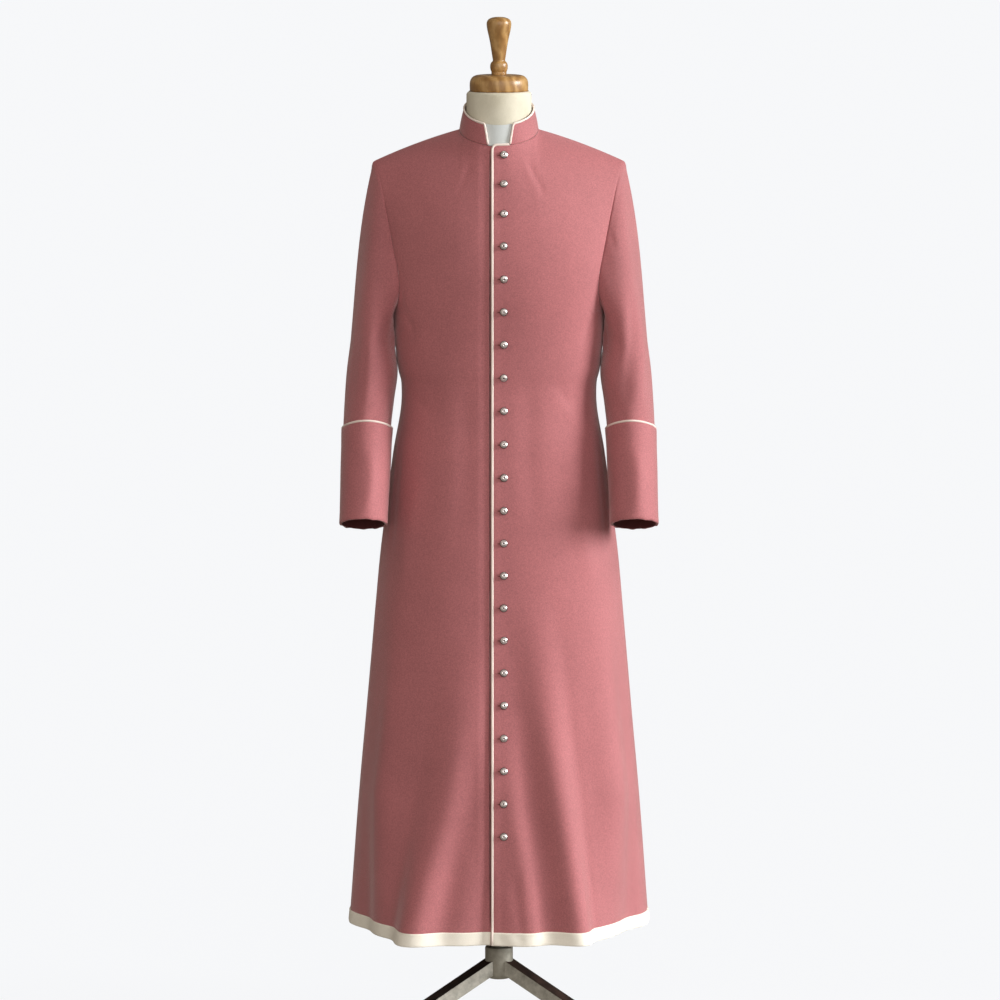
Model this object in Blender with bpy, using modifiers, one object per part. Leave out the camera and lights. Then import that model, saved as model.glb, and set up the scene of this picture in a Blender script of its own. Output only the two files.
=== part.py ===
"""Cassock on a limbless dress form with a tripod stand.

Metres, +Z up, floor at z = 0, the stand's pole on the Z axis. The front faces -Y and the
wearer's left is +X. A place round the body is an angle in degrees: 0 at the centre front,
90 at the wearer's left side, 180 at the centre back, negative on the wearer's right.
A place up the body is a station: below 0 it is metres under the armpit, and from 0 to 1 it is
the share of the way from the armpit level to the neckline and shoulder seam.
Every cloth piece is a wall between a grid of outer points and a grid of inner points.
"""
import math
from collections import namedtuple

import bmesh
import bpy
from mathutils import Vector

# ------------------------------------------------------------------ driving sizes
NAME = "cassock"
WALL = 0.0020            # cloth, with its lining
SEAM = 0.0003            # gap between pieces that are sewn together
HEM_Z = 0.185
ARMPIT_Z = 1.2694
SHOULDER_Y = 0.0

LAP_X = (-0.0090, 0.0085, 0.0190, 0.0300)   # left edge, button line, right edge of the closure
LAP_DEPTH = 0.0028       # how far the right front runs under the left one
LAP_EASE = (0.0155, 0.038)          # the right front comes back out between these two x
BREAK_HEM, BREAK_ARMPIT, NECK_ANGLE = 36.0, 30.0, 26.0

COLLAR_WALL = 0.0024
NOTCH_BOTTOM_X, NOTCH_TOP_X = 0.0188, 0.0246
TAB_WALL = 0.0014
TAB_GAP = 0.0009         # room behind the collar for the piping's cord
TAB_ANGLE = 28.0
FRONT_PIPING_X = -0.0119
FRONT_PIPING_RADIUS = 0.0024
COLLAR_PIPING_RADIUS = 0.0018
COLLAR_PIPING_DEPTH = 0.0004
CUFF_PIPING_RADIUS = 0.0021
CUFF_WALL = 0.0020
BAND_WALL = 0.0015
BAND_HEIGHT = 0.023

BUTTON_COUNT = 22
BUTTON_X = 0.0085
BUTTON_RADIUS = 0.0068
BUTTON_HEIGHT = 0.0038
BUTTON_LIFT = 0.0007

NECK_HALF_WIDTH = 0.0565
NECK_HALF_DEPTH = 0.0550
NECK_CENTRE_Y = -0.0025
NECK_TOP_Z = 1.6505
CAP_TOP_Z = 1.6785
POLE_RADIUS = 0.0120
HUB_RADIUS = 0.0246
HUB_TOP_Z, HUB_BOTTOM_Z = 0.1402, 0.0840
LEG_REACH = 0.228
LEG_WIDTH = 0.030
LEG_AZIMUTHS = (("leg_left", -28.0), ("leg_right", -152.0), ("leg_back", 62.4))

# Horizontal sections of the cloth, hem to armpit.
Section = namedtuple("Section", "z half_width front_depth back_depth squareness")
CLOTH_SECTIONS = [
    Section(0.1850, 0.2585, 0.2070, 0.2140, 2.40),
    Section(0.4020, 0.2438, 0.1890, 0.1935, 2.40),
    Section(0.5810, 0.2288, 0.1740, 0.1745, 2.38),
    Section(0.7590, 0.2138, 0.1580, 0.1550, 2.35),
    Section(0.8650, 0.2046, 0.1490, 0.1450, 2.32),
    Section(1.0200, 0.1850, 0.1310, 0.1250, 2.30),
    Section(1.1000, 0.1712, 0.1210, 0.1090, 2.28),
    Section(1.1450, 0.1705, 0.1180, 0.1060, 2.28),
    Section(1.1650, 0.1755, 0.1185, 0.1065, 2.28),
    Section(1.2100, 0.1808, 0.1200, 0.1080, 2.28),
    Section(1.2694, 0.1855, 0.1240, 0.1120, 2.28),
]
FORM_SECTIONS = [
    Section(0.8000, 0.1380, 0.0860, 0.0940, 2.10),
    Section(0.8150, 0.1500, 0.0960, 0.1040, 2.10),
    Section(0.9500, 0.1600, 0.1050, 0.1100, 2.10),
    Section(1.0500, 0.1500, 0.0980, 0.0980, 2.10),
    Section(1.1450, 0.1420, 0.0930, 0.0840, 2.10),
    Section(1.2694, 0.1580, 0.1060, 0.0930, 2.15),
]

# A ring at the neck and the shoulder line that leads from it to the armhole.
# reach scales the depth of the control points below, and fullness that at the tip.
Yoke = namedtuple(
    "Yoke", "half_width front back front_z side_z back_z tip_x tip_z crown reach fullness")
CLOTH_YOKE = Yoke(0.0687, 0.0750, 0.0620, 1.5605, 1.5845, 1.5980,
                  0.2185, 1.5285, 0.0035, 1.0, 1.0)
FORM_YOKE = Yoke(0.0645, 0.0660, 0.0550, 1.5480, 1.5795, 1.5870,
                 0.1880, 1.5381, 0.0041, 0.82, 0.0)
COLLAR_TOP = Yoke(0.0613, 0.0675, 0.0600, 1.5938, 1.6190, 1.6380,
                  0.0, 0.0, 0.0, 0.0, 0.0)

# Ring of control points that the surface passes under, a third of the way down from its top.
Control = namedtuple("Control", "angle x front_depth front_z back_depth back_z")
CONTROLS = [
    Control(0.0, 0.000, 0.114, 1.485, 0.106, 1.520),
    Control(13.0, 0.040, 0.111, 1.505, 0.103, 1.530),
    Control(26.0, 0.080, 0.104, 1.540, 0.096, 1.546),
    Control(45.0, 0.126, 0.087, 1.534, 0.084, 1.538),
    Control(70.0, 0.176, 0.066, 1.520, 0.068, 1.520),
    Control(90.0, 0.213, 0.052, 1.498, 0.055, 1.498),
]
CHEST_RISE = 0.4         # share of the way up that the surface keeps the slope of the armpit
SLOPE_STEP = 0.01        # drop over which that slope is taken
SHOULDER_SWELL = 0.045   # extra depth of the surface beside the armhole

Body = namedtuple("Body", "sections yoke chest back")
CLOTH = Body(CLOTH_SECTIONS, CLOTH_YOKE, 0.006, 0.012)
FORM = Body(FORM_SECTIONS, FORM_YOKE, 0.006, 0.010)

# How far the armhole lies inside the line from the armpit to the shoulder tip.
Armhole = namedtuple("Armhole", "station inset")
ARMHOLE = [
    Armhole(0.000, 0.0000),
    Armhole(0.015, 0.0035),
    Armhole(0.050, 0.0105),
    Armhole(0.120, 0.0160),
    Armhole(0.210, 0.0165),
    Armhole(0.320, 0.0135),
    Armhole(0.450, 0.0110),
    Armhole(0.600, 0.0088),
    Armhole(0.750, 0.0070),
    Armhole(0.880, 0.0040),
    Armhole(1.000, 0.0000),
]
BACK_ARMHOLE_SHARE = 0.8

# Soft ridges that fan out down the skirt.
Fold = namedtuple("Fold", "top_angle hem_angle top_z half_angle depth")
FOLDS = [
    Fold(-3.0, -11.0, 0.58, 8.0, 0.0100),
    Fold(-8.0, -27.5, 0.72, 17.0, 0.0240),
    Fold(-26.0, -27.5, 0.40, 19.0, 0.0180),
    Fold(0.0, 7.0, 0.60, 12.0, 0.0140),
    Fold(13.0, 25.5, 0.80, 13.0, 0.0300),
    Fold(52.0, 58.0, 0.80, 18.0, 0.0100),
    Fold(60.0, 61.0, 0.43, 25.0, -0.0300),
    Fold(-50.0, -62.0, 0.82, 18.0, 0.0110),
    Fold(-64.0, -65.0, 0.43, 24.0, -0.0250),
    Fold(92.0, 92.0, 0.95, 11.0, 0.0060),
    Fold(-92.0, -92.0, 0.90, 11.0, 0.0060),
    Fold(128.0, 126.0, 1.00, 16.0, 0.0140),
    Fold(-126.0, -130.0, 1.02, 17.0, 0.0150),
    Fold(160.0, 155.0, 1.05, 13.0, 0.0140),
    Fold(-158.0, -156.0, 1.03, 13.0, 0.0150),
]

# Heights of the buttons, counted from the neck down.
ButtonSpot = namedtuple("ButtonSpot", "number z")
BUTTON_SPOTS = [
    ButtonSpot(1, 1.5455),
    ButtonSpot(3, 1.4464),
    ButtonSpot(6, 1.2782),
    ButtonSpot(11, 0.9914),
    ButtonSpot(17, 0.6560),
    ButtonSpot(22, 0.3743),
]

BAND_STATION = HEM_Z + BAND_HEIGHT - ARMPIT_Z
ROW_HEIGHTS = (0.270, 0.340, 0.410, 0.490, 0.575, 0.665, 0.760, 0.860, 0.960, 1.055, 1.145, 1.210)
STATIONS = ([HEM_Z - ARMPIT_Z, BAND_STATION] + [z - ARMPIT_Z for z in ROW_HEIGHTS]
            + [0.0, 0.015, 0.05, 0.12, 0.21, 0.32, 0.45, 0.60, 0.75, 0.88, 1.0])
FIRST_UPPER_ROW = STATIONS.index(0.0)
FRONT_COLUMNS, SIDE_COLUMNS, BACK_COLUMNS = 7, 9, 7

# Rings of the sleeve, from its end to the upper arm.
Ring = namedtuple("Ring", "z x y half_width half_depth pitch")
SLEEVE = [
    Ring(0.9077, 0.2348, -0.1085, 0.0390, 0.0480, 18.0),
    Ring(0.9550, 0.2330, -0.0940, 0.0400, 0.0500, 18.0),
    Ring(1.0100, 0.2311, -0.0740, 0.0412, 0.0530, 18.0),
    Ring(1.0695, 0.2291, -0.0510, 0.0415, 0.0570, 16.0),
    Ring(1.1150, 0.2255, -0.0350, 0.0430, 0.0615, 13.0),
    Ring(1.1650, 0.2206, -0.0200, 0.0444, 0.0670, 9.0),
    Ring(1.2150, 0.2204, -0.0100, 0.0382, 0.0715, 6.0),
]
CAP_SHARES = (0.0, 0.12, 0.28, 0.50, 0.75)
CUFF_RINGS = 4
CAP_FLARE, CAP_SLOPE = 0.24, 0.09   # how far the sleeve runs outward at the shoulder, and below it
CAP_INNER_FLARE = 0.50              # the same as CAP_FLARE on the body's side
CAP_ROUNDING = 0.35                 # pull towards the sleeve's middle, front and back
CAP_DROP, CAP_INNER_DROP = 0.97, 0.85
CAP_PULL = 0.36                     # length of the cap's two handles, as a share of its height


# ------------------------------------------------------------------ small helpers
def lookup(rows, key, field, at):
    """Smooth value of one column of a table, held level beyond its first and last row."""
    keys = [getattr(row, key) for row in rows]
    values = [getattr(row, field) for row in rows]
    if at <= keys[0]:
        return values[0]
    if at >= keys[-1]:
        return values[-1]
    last = len(keys) - 1
    i = max(k for k in range(last) if keys[k] <= at)
    step = keys[i + 1] - keys[i]

    def slope(k):
        low, high = max(k - 1, 0), min(k + 1, last)
        return (values[high] - values[low]) / (keys[high] - keys[low])

    t = (at - keys[i]) / step
    return ((2 * t**3 - 3 * t**2 + 1) * values[i] + (t**3 - 2 * t**2 + t) * step * slope(i)
            + (3 * t**2 - 2 * t**3) * values[i + 1] + (t**3 - t**2) * step * slope(i + 1))


def mix(a, b, t):
    return a + (b - a) * t


def smoothstep(t):
    t = min(max(t, 0.0), 1.0)
    return t * t * (3.0 - 2.0 * t)


def bezier(p0, p1, p2, p3, t):
    s = 1.0 - t
    return p0 * s**3 + p1 * (3 * s * s * t) + p2 * (3 * s * t * t) + p3 * t**3


def rounded(cosine_or_sine, squareness):
    return math.copysign(abs(cosine_or_sine) ** (2.0 / squareness), cosine_or_sine)


def spread(start, end, count):
    """Count steps from start to end, without start itself."""
    return [mix(start, end, k / count) for k in range(1, count + 1)]


def wrapped(angle):
    return (angle + 180.0) % 360.0 - 180.0


# ------------------------------------------------------------------ the body's surface
def section_point(body, angle, z):
    """Outer point of a horizontal section, before any fold."""
    half_width, front, back, squareness = (
        lookup(body.sections, "z", field, z)
        for field in ("half_width", "front_depth", "back_depth", "squareness"))
    sine, cosine = math.sin(math.radians(angle)), math.cos(math.radians(angle))
    depth = front if cosine >= 0.0 else back
    return Vector((half_width * rounded(sine, squareness), -depth * rounded(cosine, squareness), z))


def fold_relief(angle, z):
    """How far the skirt's ridges stand out at one place."""
    relief = 0.0
    for fold in FOLDS:
        if z < fold.top_z:
            fall = (fold.top_z - z) / (fold.top_z - HEM_Z)
            off = wrapped(angle - mix(fold.top_angle, fold.hem_angle, fall)) / fold.half_angle
            if abs(off) < 1.0:
                relief += fold.depth * fall * 0.5 * (1.0 + math.cos(math.pi * off))
    return relief


def neck_point(yoke, angle):
    """Point on a neck ring; here the angle is the ring's own, 0 front and 180 back."""
    sine, cosine = math.sin(math.radians(angle)), math.cos(math.radians(angle))
    reach, end_z = (yoke.front, yoke.front_z) if cosine >= 0.0 else (yoke.back, yoke.back_z)
    return Vector((yoke.half_width * sine, -reach * cosine, mix(yoke.side_z, end_z, abs(cosine))))


def shoulder_point(yoke, share):
    drop = mix(yoke.side_z, yoke.tip_z, share) + 4.0 * yoke.crown * share * (1.0 - share)
    return Vector((mix(yoke.half_width, yoke.tip_x, share), SHOULDER_Y, drop))


def upper_point(body, angle, station):
    """Point between the armpit level and the neckline or the shoulder seam."""
    yoke = body.yoke
    front = abs(angle) <= 90.0
    local = abs(angle) if front else 180.0 - abs(angle)
    facing = -1.0 if front else 1.0
    bottom = section_point(body, local if front else 180.0 - local, ARMPIT_Z)
    below = section_point(body, local if front else 180.0 - local, ARMPIT_Z - SLOPE_STEP)
    if local <= NECK_ANGLE:
        share, along = 0.0, local / NECK_ANGLE
        top = neck_point(yoke, 90.0 * along if front else 180.0 - 90.0 * along)
    else:
        share, along = (local - NECK_ANGLE) / (90.0 - NECK_ANGLE), 1.0
        top = shoulder_point(yoke, share)
    x, depth, z = (lookup(CONTROLS, "angle", field, local) for field in (
        ("x", "front_depth", "front_z") if front else ("x", "back_depth", "back_z")))
    thin = yoke.reach * (1.0 - (1.0 - yoke.fullness) * share**4)
    second = Vector((x * yoke.tip_x / CLOTH_YOKE.tip_x, facing * depth * thin,
                     z + yoke.side_z - CLOTH_YOKE.side_z))
    rise = (bottom - below).normalized() * (CHEST_RISE * (top.z - bottom.z))
    swell = (body.chest if front else body.back) * math.cos(math.radians(local))
    swell += SHOULDER_SWELL * yoke.fullness * share**2
    first = bottom + rise + Vector((0.0, facing * swell, 0.0))
    point = bezier(bottom, first, second, top, station)
    point.x = math.copysign(point.x, angle) if local > 0.0 else 0.0
    return point


def body_point(body, angle, station):
    if station > 0.0:
        return upper_point(body, angle, station)
    return section_point(body, angle, ARMPIT_Z + station)


def cloth_point(angle, station):
    """Outer surface of the garment, with its folds."""
    point = body_point(CLOTH, angle, station)
    if station < 0.0:
        out = Vector((point.x, point.y, 0.0)).normalized()
        point += out * fold_relief(angle, ARMPIT_Z + station)
    return point


def angle_at_x(x, station, low=-60.0, high=90.0, base=0.0):
    """Angle at which the surface has this x; base is 0 on the front and 180 on the back."""
    for _ in range(40):
        middle = 0.5 * (low + high)
        place = abs(base - middle) * (1.0 if base else math.copysign(1.0, middle))
        if cloth_point(place, station).x < x:
            low = middle
        else:
            high = middle
    return 0.5 * (low + high)


# ------------------------------------------------------------------ meshes
def material(name, colour, roughness, metallic=0.0):
    item = bpy.data.materials.new(name)
    item.use_nodes = True
    shader = item.node_tree.nodes["Principled BSDF"]
    shader.inputs["Base Color"].default_value = (*colour, 1.0)
    shader.inputs["Roughness"].default_value = roughness
    shader.inputs["Metallic"].default_value = metallic
    item.diffuse_color = (*colour, 1.0)
    return item


def add_object(name, data, finish, collection=None):
    """Put a mesh or a curve in the part's collection under its node's name."""
    item = bpy.data.objects.new(name, data)
    (collection or PARTS).objects.link(item)
    if finish:
        data.materials.append(material(name, *finish))
    return item


def mesh_object(name, bm, finish):
    bmesh.ops.recalc_face_normals(bm, faces=bm.faces)
    mesh = bpy.data.meshes.new(name)
    bm.to_mesh(mesh)
    bm.free()
    item = add_object(name, mesh, finish)
    mesh.shade_smooth()
    mesh.set_sharp_from_angle(angle=math.radians(40.0))
    return item


def strip(bm, first, second, closed):
    """Two triangles for each step between two rows of vertices."""
    count = len(first)
    for k in range(count if closed else count - 1):
        n = (k + 1) % count
        bm.faces.new((first[k], first[n], second[n]))
        bm.faces.new((first[k], second[n], second[k]))


def wall_object(name, outer, inner, finish, closed=False, rim_from_inside=False):
    """Closed wall between two grids; a closed grid's last column meets its first one.

    Facing rims are split along the same diagonals, so rim_from_inside turns one of the two.
    """
    bm = bmesh.new()
    outside = [[bm.verts.new(p) for p in row] for row in outer]
    inside = [[bm.verts.new(p) for p in row] for row in inner]
    for grid in (outside, inside):
        for low, high in zip(grid, grid[1:]):
            strip(bm, low, high, closed)
    for row in (0, -1):
        strip(bm, outside[row], inside[row], closed)
    if not closed:
        for column in (0, -1):
            rims = [[row[column] for row in grid] for grid in (outside, inside)]
            strip(bm, *(rims[::-1] if rim_from_inside else rims), False)
    return mesh_object(name, bm, finish)


def grid_normals(grid, closed=False, towards=None):
    """Unit normal at each grid point, on the side that faces away from the point 'towards(row)'."""
    rows, columns = len(grid), len(grid[0])
    normals = []
    for r in range(rows):
        line = []
        for c in range(columns):
            if closed:
                across = grid[r][(c + 1) % columns] - grid[r][c - 1]
            else:
                across = grid[r][min(c + 1, columns - 1)] - grid[r][max(c - 1, 0)]
            along = grid[min(r + 1, rows - 1)][c] - grid[max(r - 1, 0)][c]
            normal = across.cross(along).normalized()
            if normal.dot(grid[r][c] - towards(r)) < 0.0:
                normal.negate()
            line.append(normal)
        normals.append(line)
    return normals


def moved(grid, normals, distance):
    return [[p + n * distance for p, n in zip(row, line)] for row, line in zip(grid, normals)]


def tube(name, points, radius, finish, closed=False):
    """Round cord through points, as a curve with a bevel."""
    curve = bpy.data.curves.new(name, "CURVE")
    curve.dimensions = "3D"
    curve.bevel_depth = radius
    curve.bevel_resolution = 1
    curve.use_fill_caps = True
    spline = curve.splines.new("POLY")
    spline.points.add(len(points) - 1)
    for knot, point in zip(spline.points, points):
        knot.co = (*point, 1.0)
    spline.use_cyclic_u = closed
    return add_object(name, curve, finish)


def turned(name, profile, finish, steps):
    """Solid of revolution about Z; the profile runs from its top centre down its outer side."""
    mesh = bpy.data.meshes.new(name)
    vertices = [(radius, 0.0, z) for radius, z in profile]
    mesh.from_pydata(vertices, [(k, k + 1) for k in range(len(profile) - 1)], [])
    item = add_object(name, mesh, finish)
    screw = item.modifiers.new("turn", "SCREW")
    screw.axis = "Z"
    screw.steps = screw.render_steps = steps
    screw.use_merge_vertices = True
    screw.merge_threshold = 0.0001
    screw.use_smooth_shade = True
    return item


# ------------------------------------------------------------------ garment panels
def column_angles(side, front, station):
    """Angles of a panel's columns from its centre edge to its outer edge, before mirroring."""
    if station >= 0.0:
        split = mix(BREAK_ARMPIT, NECK_ANGLE, station)
    else:
        split = mix(BREAK_ARMPIT, BREAK_HEM, station / (HEM_Z - ARMPIT_Z))
    end = 90.0
    inset = lookup(ARMHOLE, "station", "inset", station) * (1.0 if front else BACK_ARMHOLE_SHARE)
    if 0.0 < station < 1.0:
        edge_x = cloth_point(90.0, station).x - inset
        end = angle_at_x(edge_x, station, 10.0, 90.0, 0.0 if front else 180.0)
    if not front:
        return [0.0] + spread(0.0, split, BACK_COLUMNS) + spread(split, end, SIDE_COLUMNS)
    if side > 0:
        start = [angle_at_x(x, station) for x in LAP_X]
    else:
        start = [-angle_at_x(x, station) for x in LAP_X[::-1] + (-LAP_EASE[0],)]
    return start + spread(start[-1], split, FRONT_COLUMNS) + spread(split, end, SIDE_COLUMNS)


class Panel:
    """Grid of one front or back panel; its columns run in the order of rising angle."""

    def __init__(self, side, front):
        self.side, self.front = side, front
        self.outer = []
        for station in STATIONS:
            angles = column_angles(side, front, station)
            places = angles if front else [180.0 - a for a in angles]
            self.outer.append([cloth_point(side * a, station) for a in places])
        self.normals = grid_normals(self.outer, towards=self.centre)
        self.share_seam_normals()
        self.strips = [[n * WALL for n in line] for line in self.normals]
        if front and side < 0:
            self.tuck_under()

    def centre(self, row):
        return Vector((0.0, 0.0, min(self.outer[row][0].z, ARMPIT_Z)))

    def share_seam_normals(self):
        """Give both panels of a seam the same normals along it."""
        for row in range(FIRST_UPPER_ROW + 1):
            self.normals[row][-1] = Vector((self.side, 0.0, 0.0))
        seam = (shoulder_point(CLOTH_YOKE, 1.0) - shoulder_point(CLOTH_YOKE, 0.0)).normalized()
        corner = len(self.outer[0]) - 1 - SIDE_COLUMNS
        for column in range(corner, len(self.outer[0])):
            self.normals[-1][column] = Vector((-seam.z * self.side, 0.0, seam.x))
        if not self.front:
            for line in self.normals:
                line[0] = Vector((0.0, line[0].y, line[0].z)).normalized()

    def tuck_under(self):
        """Sink the right front's closure edge under the left front."""
        for row, line in zip(self.outer, self.normals):
            for k, point in enumerate(row):
                out = (-point.x - LAP_EASE[0]) / (LAP_EASE[1] - LAP_EASE[0])
                row[k] = point - line[k] * (LAP_DEPTH * (1.0 - smoothstep(out)))

    def edge_shifts(self):
        """Half a seam's gap, away from each seam."""
        half = 0.5 * SEAM
        away = Vector((0.0, -half if self.front else half, 0.0))
        corner = len(self.outer[0]) - 1 - SIDE_COLUMNS
        shifts = [[Vector((0.0, 0.0, 0.0)) for _ in row] for row in self.outer]
        for row in range(FIRST_UPPER_ROW + 1):
            shifts[row][-1] += away
        for column in range(corner, len(self.outer[0])):
            shifts[-1][column] += away
        if not self.front:
            for line in shifts:
                line[0] += Vector((self.side * half, 0.0, 0.0))
        return shifts

    def build(self, name, finish):
        shifts = self.edge_shifts()
        outer = [[p + s for p, s in zip(row, line)] for row, line in zip(self.outer, shifts)]
        inner = [[p - t for p, t in zip(row, line)] for row, line in zip(outer, self.strips)]
        if self.side < 0:
            outer = [row[::-1] for row in outer]
            inner = [row[::-1] for row in inner]
        self.outer = outer
        wall_object(name, outer, inner, finish, rim_from_inside=self.front)

    def band(self, name, finish):
        """Cream band on the outside of the hem, from the panel's own points."""
        normals = [line[::-1] if self.side < 0 else line for line in self.normals[:2]]
        rows = self.outer[:2]
        if self.front and self.side < 0:
            rows = [row[:-len(LAP_X)] for row in rows]
            normals = [line[:-len(LAP_X)] for line in normals]
        inner = moved(rows, normals, SEAM)
        outer = moved(rows, normals, SEAM + BAND_WALL)
        wall_object(name, outer, inner, finish)


# ------------------------------------------------------------------ sleeves and cuffs
def ring_point(ring, side, angle):
    """Point on a sleeve ring: 0 on its outer side, 90 in front, 180 against the body."""
    pitch = math.radians(ring.pitch)
    forward = Vector((0.0, -math.cos(pitch), math.sin(pitch)))
    centre = Vector((side * ring.x, ring.y, ring.z))
    across = Vector((side * ring.half_width * math.cos(math.radians(angle)), 0.0, 0.0))
    return centre + across + forward * (ring.half_depth * math.sin(math.radians(angle)))


class Sleeve:
    """Tube from the armhole to its end, with the armhole's own points as its first ring."""

    def __init__(self, side, front_panel, back_panel):
        self.side = side
        front = [(front_panel, row) for row in range(len(STATIONS) - 1, FIRST_UPPER_ROW - 1, -1)]
        back = [(back_panel, row) for row in range(FIRST_UPPER_ROW + 1, len(STATIONS) - 1)]
        self.places = front + back
        loop = [panel.outer[row][-1].copy() for panel, row in self.places]
        body_normals = [panel.normals[row][-1] for panel, row in self.places]
        angles = self.ring_angles(loop, len(front) - 1)
        top = SLEEVE[-1]
        grid = []
        for share in CAP_SHARES:
            grid.append([self.cap_point(p, ring_point(top, side, a), a, share)
                         for p, a in zip(loop, angles)])
        for ring in reversed(SLEEVE):
            grid.append([ring_point(ring, side, a) for a in angles])
        self.outer = grid
        self.normals = grid_normals(grid, closed=True, towards=self.centre)
        self.strips = [[n * WALL for n in line] for line in self.normals]
        self.mitre(loop, body_normals)

    @staticmethod
    def ring_angles(loop, armpit):
        """Angles that share the ring out as the armhole's own lengths do."""
        lengths = [0.0]
        for a, b in zip(loop, loop[1:] + loop[:1]):
            lengths.append(lengths[-1] + (b - a).length)
        front, whole = lengths[armpit], lengths[-1]
        return [180.0 * at / front if at <= front else 180.0 + 180.0 * (at - front) / (whole - front)
                for at in lengths[:-1]]

    def cap_point(self, start, end, angle, share):
        inward = 0.5 * (1.0 - math.cos(math.radians(angle)))
        leave = Vector((self.side * mix(CAP_FLARE, CAP_INNER_FLARE, inward),
                        -CAP_ROUNDING * math.sin(math.radians(angle)),
                        -mix(CAP_DROP, CAP_INNER_DROP, inward)))
        pitch = math.radians(SLEEVE[-1].pitch)
        arrive = Vector((self.side * CAP_SLOPE, -math.sin(pitch), -math.cos(pitch)))
        reach = CAP_PULL * (end - start).length
        return bezier(start, start + leave.normalized() * reach, end - arrive * reach, end, share)

    def centre(self, row):
        middle = Vector((0.0, 0.0, 0.0))
        for point in self.outer[row]:
            middle += point / len(self.outer[row])
        return middle + Vector((0.0, 0.0, -0.02)) if row < 2 else middle

    def mitre(self, loop, body_normals):
        """Cut the sleeve's and the panels' ends on one plane, half a seam's gap to each side."""
        count = len(loop)
        for k, (panel, row) in enumerate(self.places):
            along = (loop[(k + 1) % count] - loop[k - 1]).normalized()
            between = (body_normals[k] + self.normals[0][k]).normalized()
            thick = WALL / max(between.dot(body_normals[k]), 0.6)
            strip_vector = (between - along * between.dot(along)).normalized() * thick
            apart = along.cross(strip_vector).normalized() * (0.5 * SEAM)
            if apart.x * self.side < 0.0:
                apart.negate()
            self.strips[0][k] = strip_vector
            self.outer[0][k] = loop[k] + apart
            for other in {panel} | ({BACKS[self.side]} if row in (FIRST_UPPER_ROW, len(STATIONS) - 1)
                                    else set()):
                other.strips[row][-1] = strip_vector
                other.outer[row][-1] = loop[k] - apart

    def build(self, name, finish):
        inner = [[p - t for p, t in zip(row, line)] for row, line in zip(self.outer, self.strips)]
        wall_object(name, self.outer, inner, finish, closed=True)

    def cuff(self, name, finish):
        rows, normals = self.outer[-CUFF_RINGS:], self.normals[-CUFF_RINGS:]
        inner = moved(rows, normals, SEAM)
        outer = moved(rows, normals, SEAM + CUFF_WALL)
        wall_object(name, outer, inner, finish, closed=True)

    def cuff_piping(self, name, finish):
        """Cord on the cuff's top edge, clear of the sleeve."""
        row, normals = self.outer[-CUFF_RINGS], self.normals[-CUFF_RINGS]
        above = self.outer[-CUFF_RINGS - 1]
        lift = SEAM + CUFF_PIPING_RADIUS
        points = []
        for point, normal, higher in zip(row, normals, above):
            up = (higher - point).normalized()
            points.append(point + normal * (lift + SEAM) + up * (lift + SEAM))
        tube(name, points, CUFF_PIPING_RADIUS, finish, closed=True)


# ------------------------------------------------------------------ collar
def collar_point(angle, height):
    """Outer collar surface, from the neckline (0) to its top edge (1)."""
    point = neck_point(CLOTH_YOKE, angle).lerp(neck_point(COLLAR_TOP, angle), height)
    return point + Vector((0.0, 0.0, SEAM * (1.0 - height)))


def collar_out(angle, height):
    """Outward normal of the collar."""
    across = collar_point(angle + 1.0, height) - collar_point(angle - 1.0, height)
    up = collar_point(angle, 1.0) - collar_point(angle, 0.0)
    normal = across.cross(up).normalized()
    return normal if normal.dot(collar_point(angle, height) - Vector((0, 0, 1.6))) > 0 else -normal


def collar_angle(x, height):
    return math.degrees(math.asin(x / mix(CLOTH_YOKE.half_width, COLLAR_TOP.half_width, height)))


def notch_x(height):
    return mix(NOTCH_BOTTOM_X, NOTCH_TOP_X, height)


def build_collar(finish):
    heights = (0.0, 0.5, 1.0)
    columns = 34
    outer, inner = [], []
    for height in heights:
        start = collar_angle(notch_x(height) + COLLAR_PIPING_RADIUS + SEAM, height)
        angles = [mix(start, 360.0 - start, k / columns) for k in range(columns + 1)]
        outer.append([collar_point(a, height) for a in angles])
        inner.append([collar_point(a, height) - collar_out(a, height) * COLLAR_WALL for a in angles])
    wall_object("collar", outer, inner, finish)


def build_tab(finish):
    """Tab behind the notch, held between the collar and the neck."""
    outer, inner = [], []
    for height in (0.02, 0.55, 1.08):
        angles = [mix(-TAB_ANGLE, TAB_ANGLE, k / 8) for k in range(9)]
        sunk = COLLAR_WALL + TAB_GAP
        outer.append([collar_point(a, height) - collar_out(a, height) * sunk for a in angles])
        inner.append([collar_point(a, height) - collar_out(a, height) * (sunk + TAB_WALL)
                      for a in angles])
    wall_object("tab_insert", outer, inner, finish)


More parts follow.
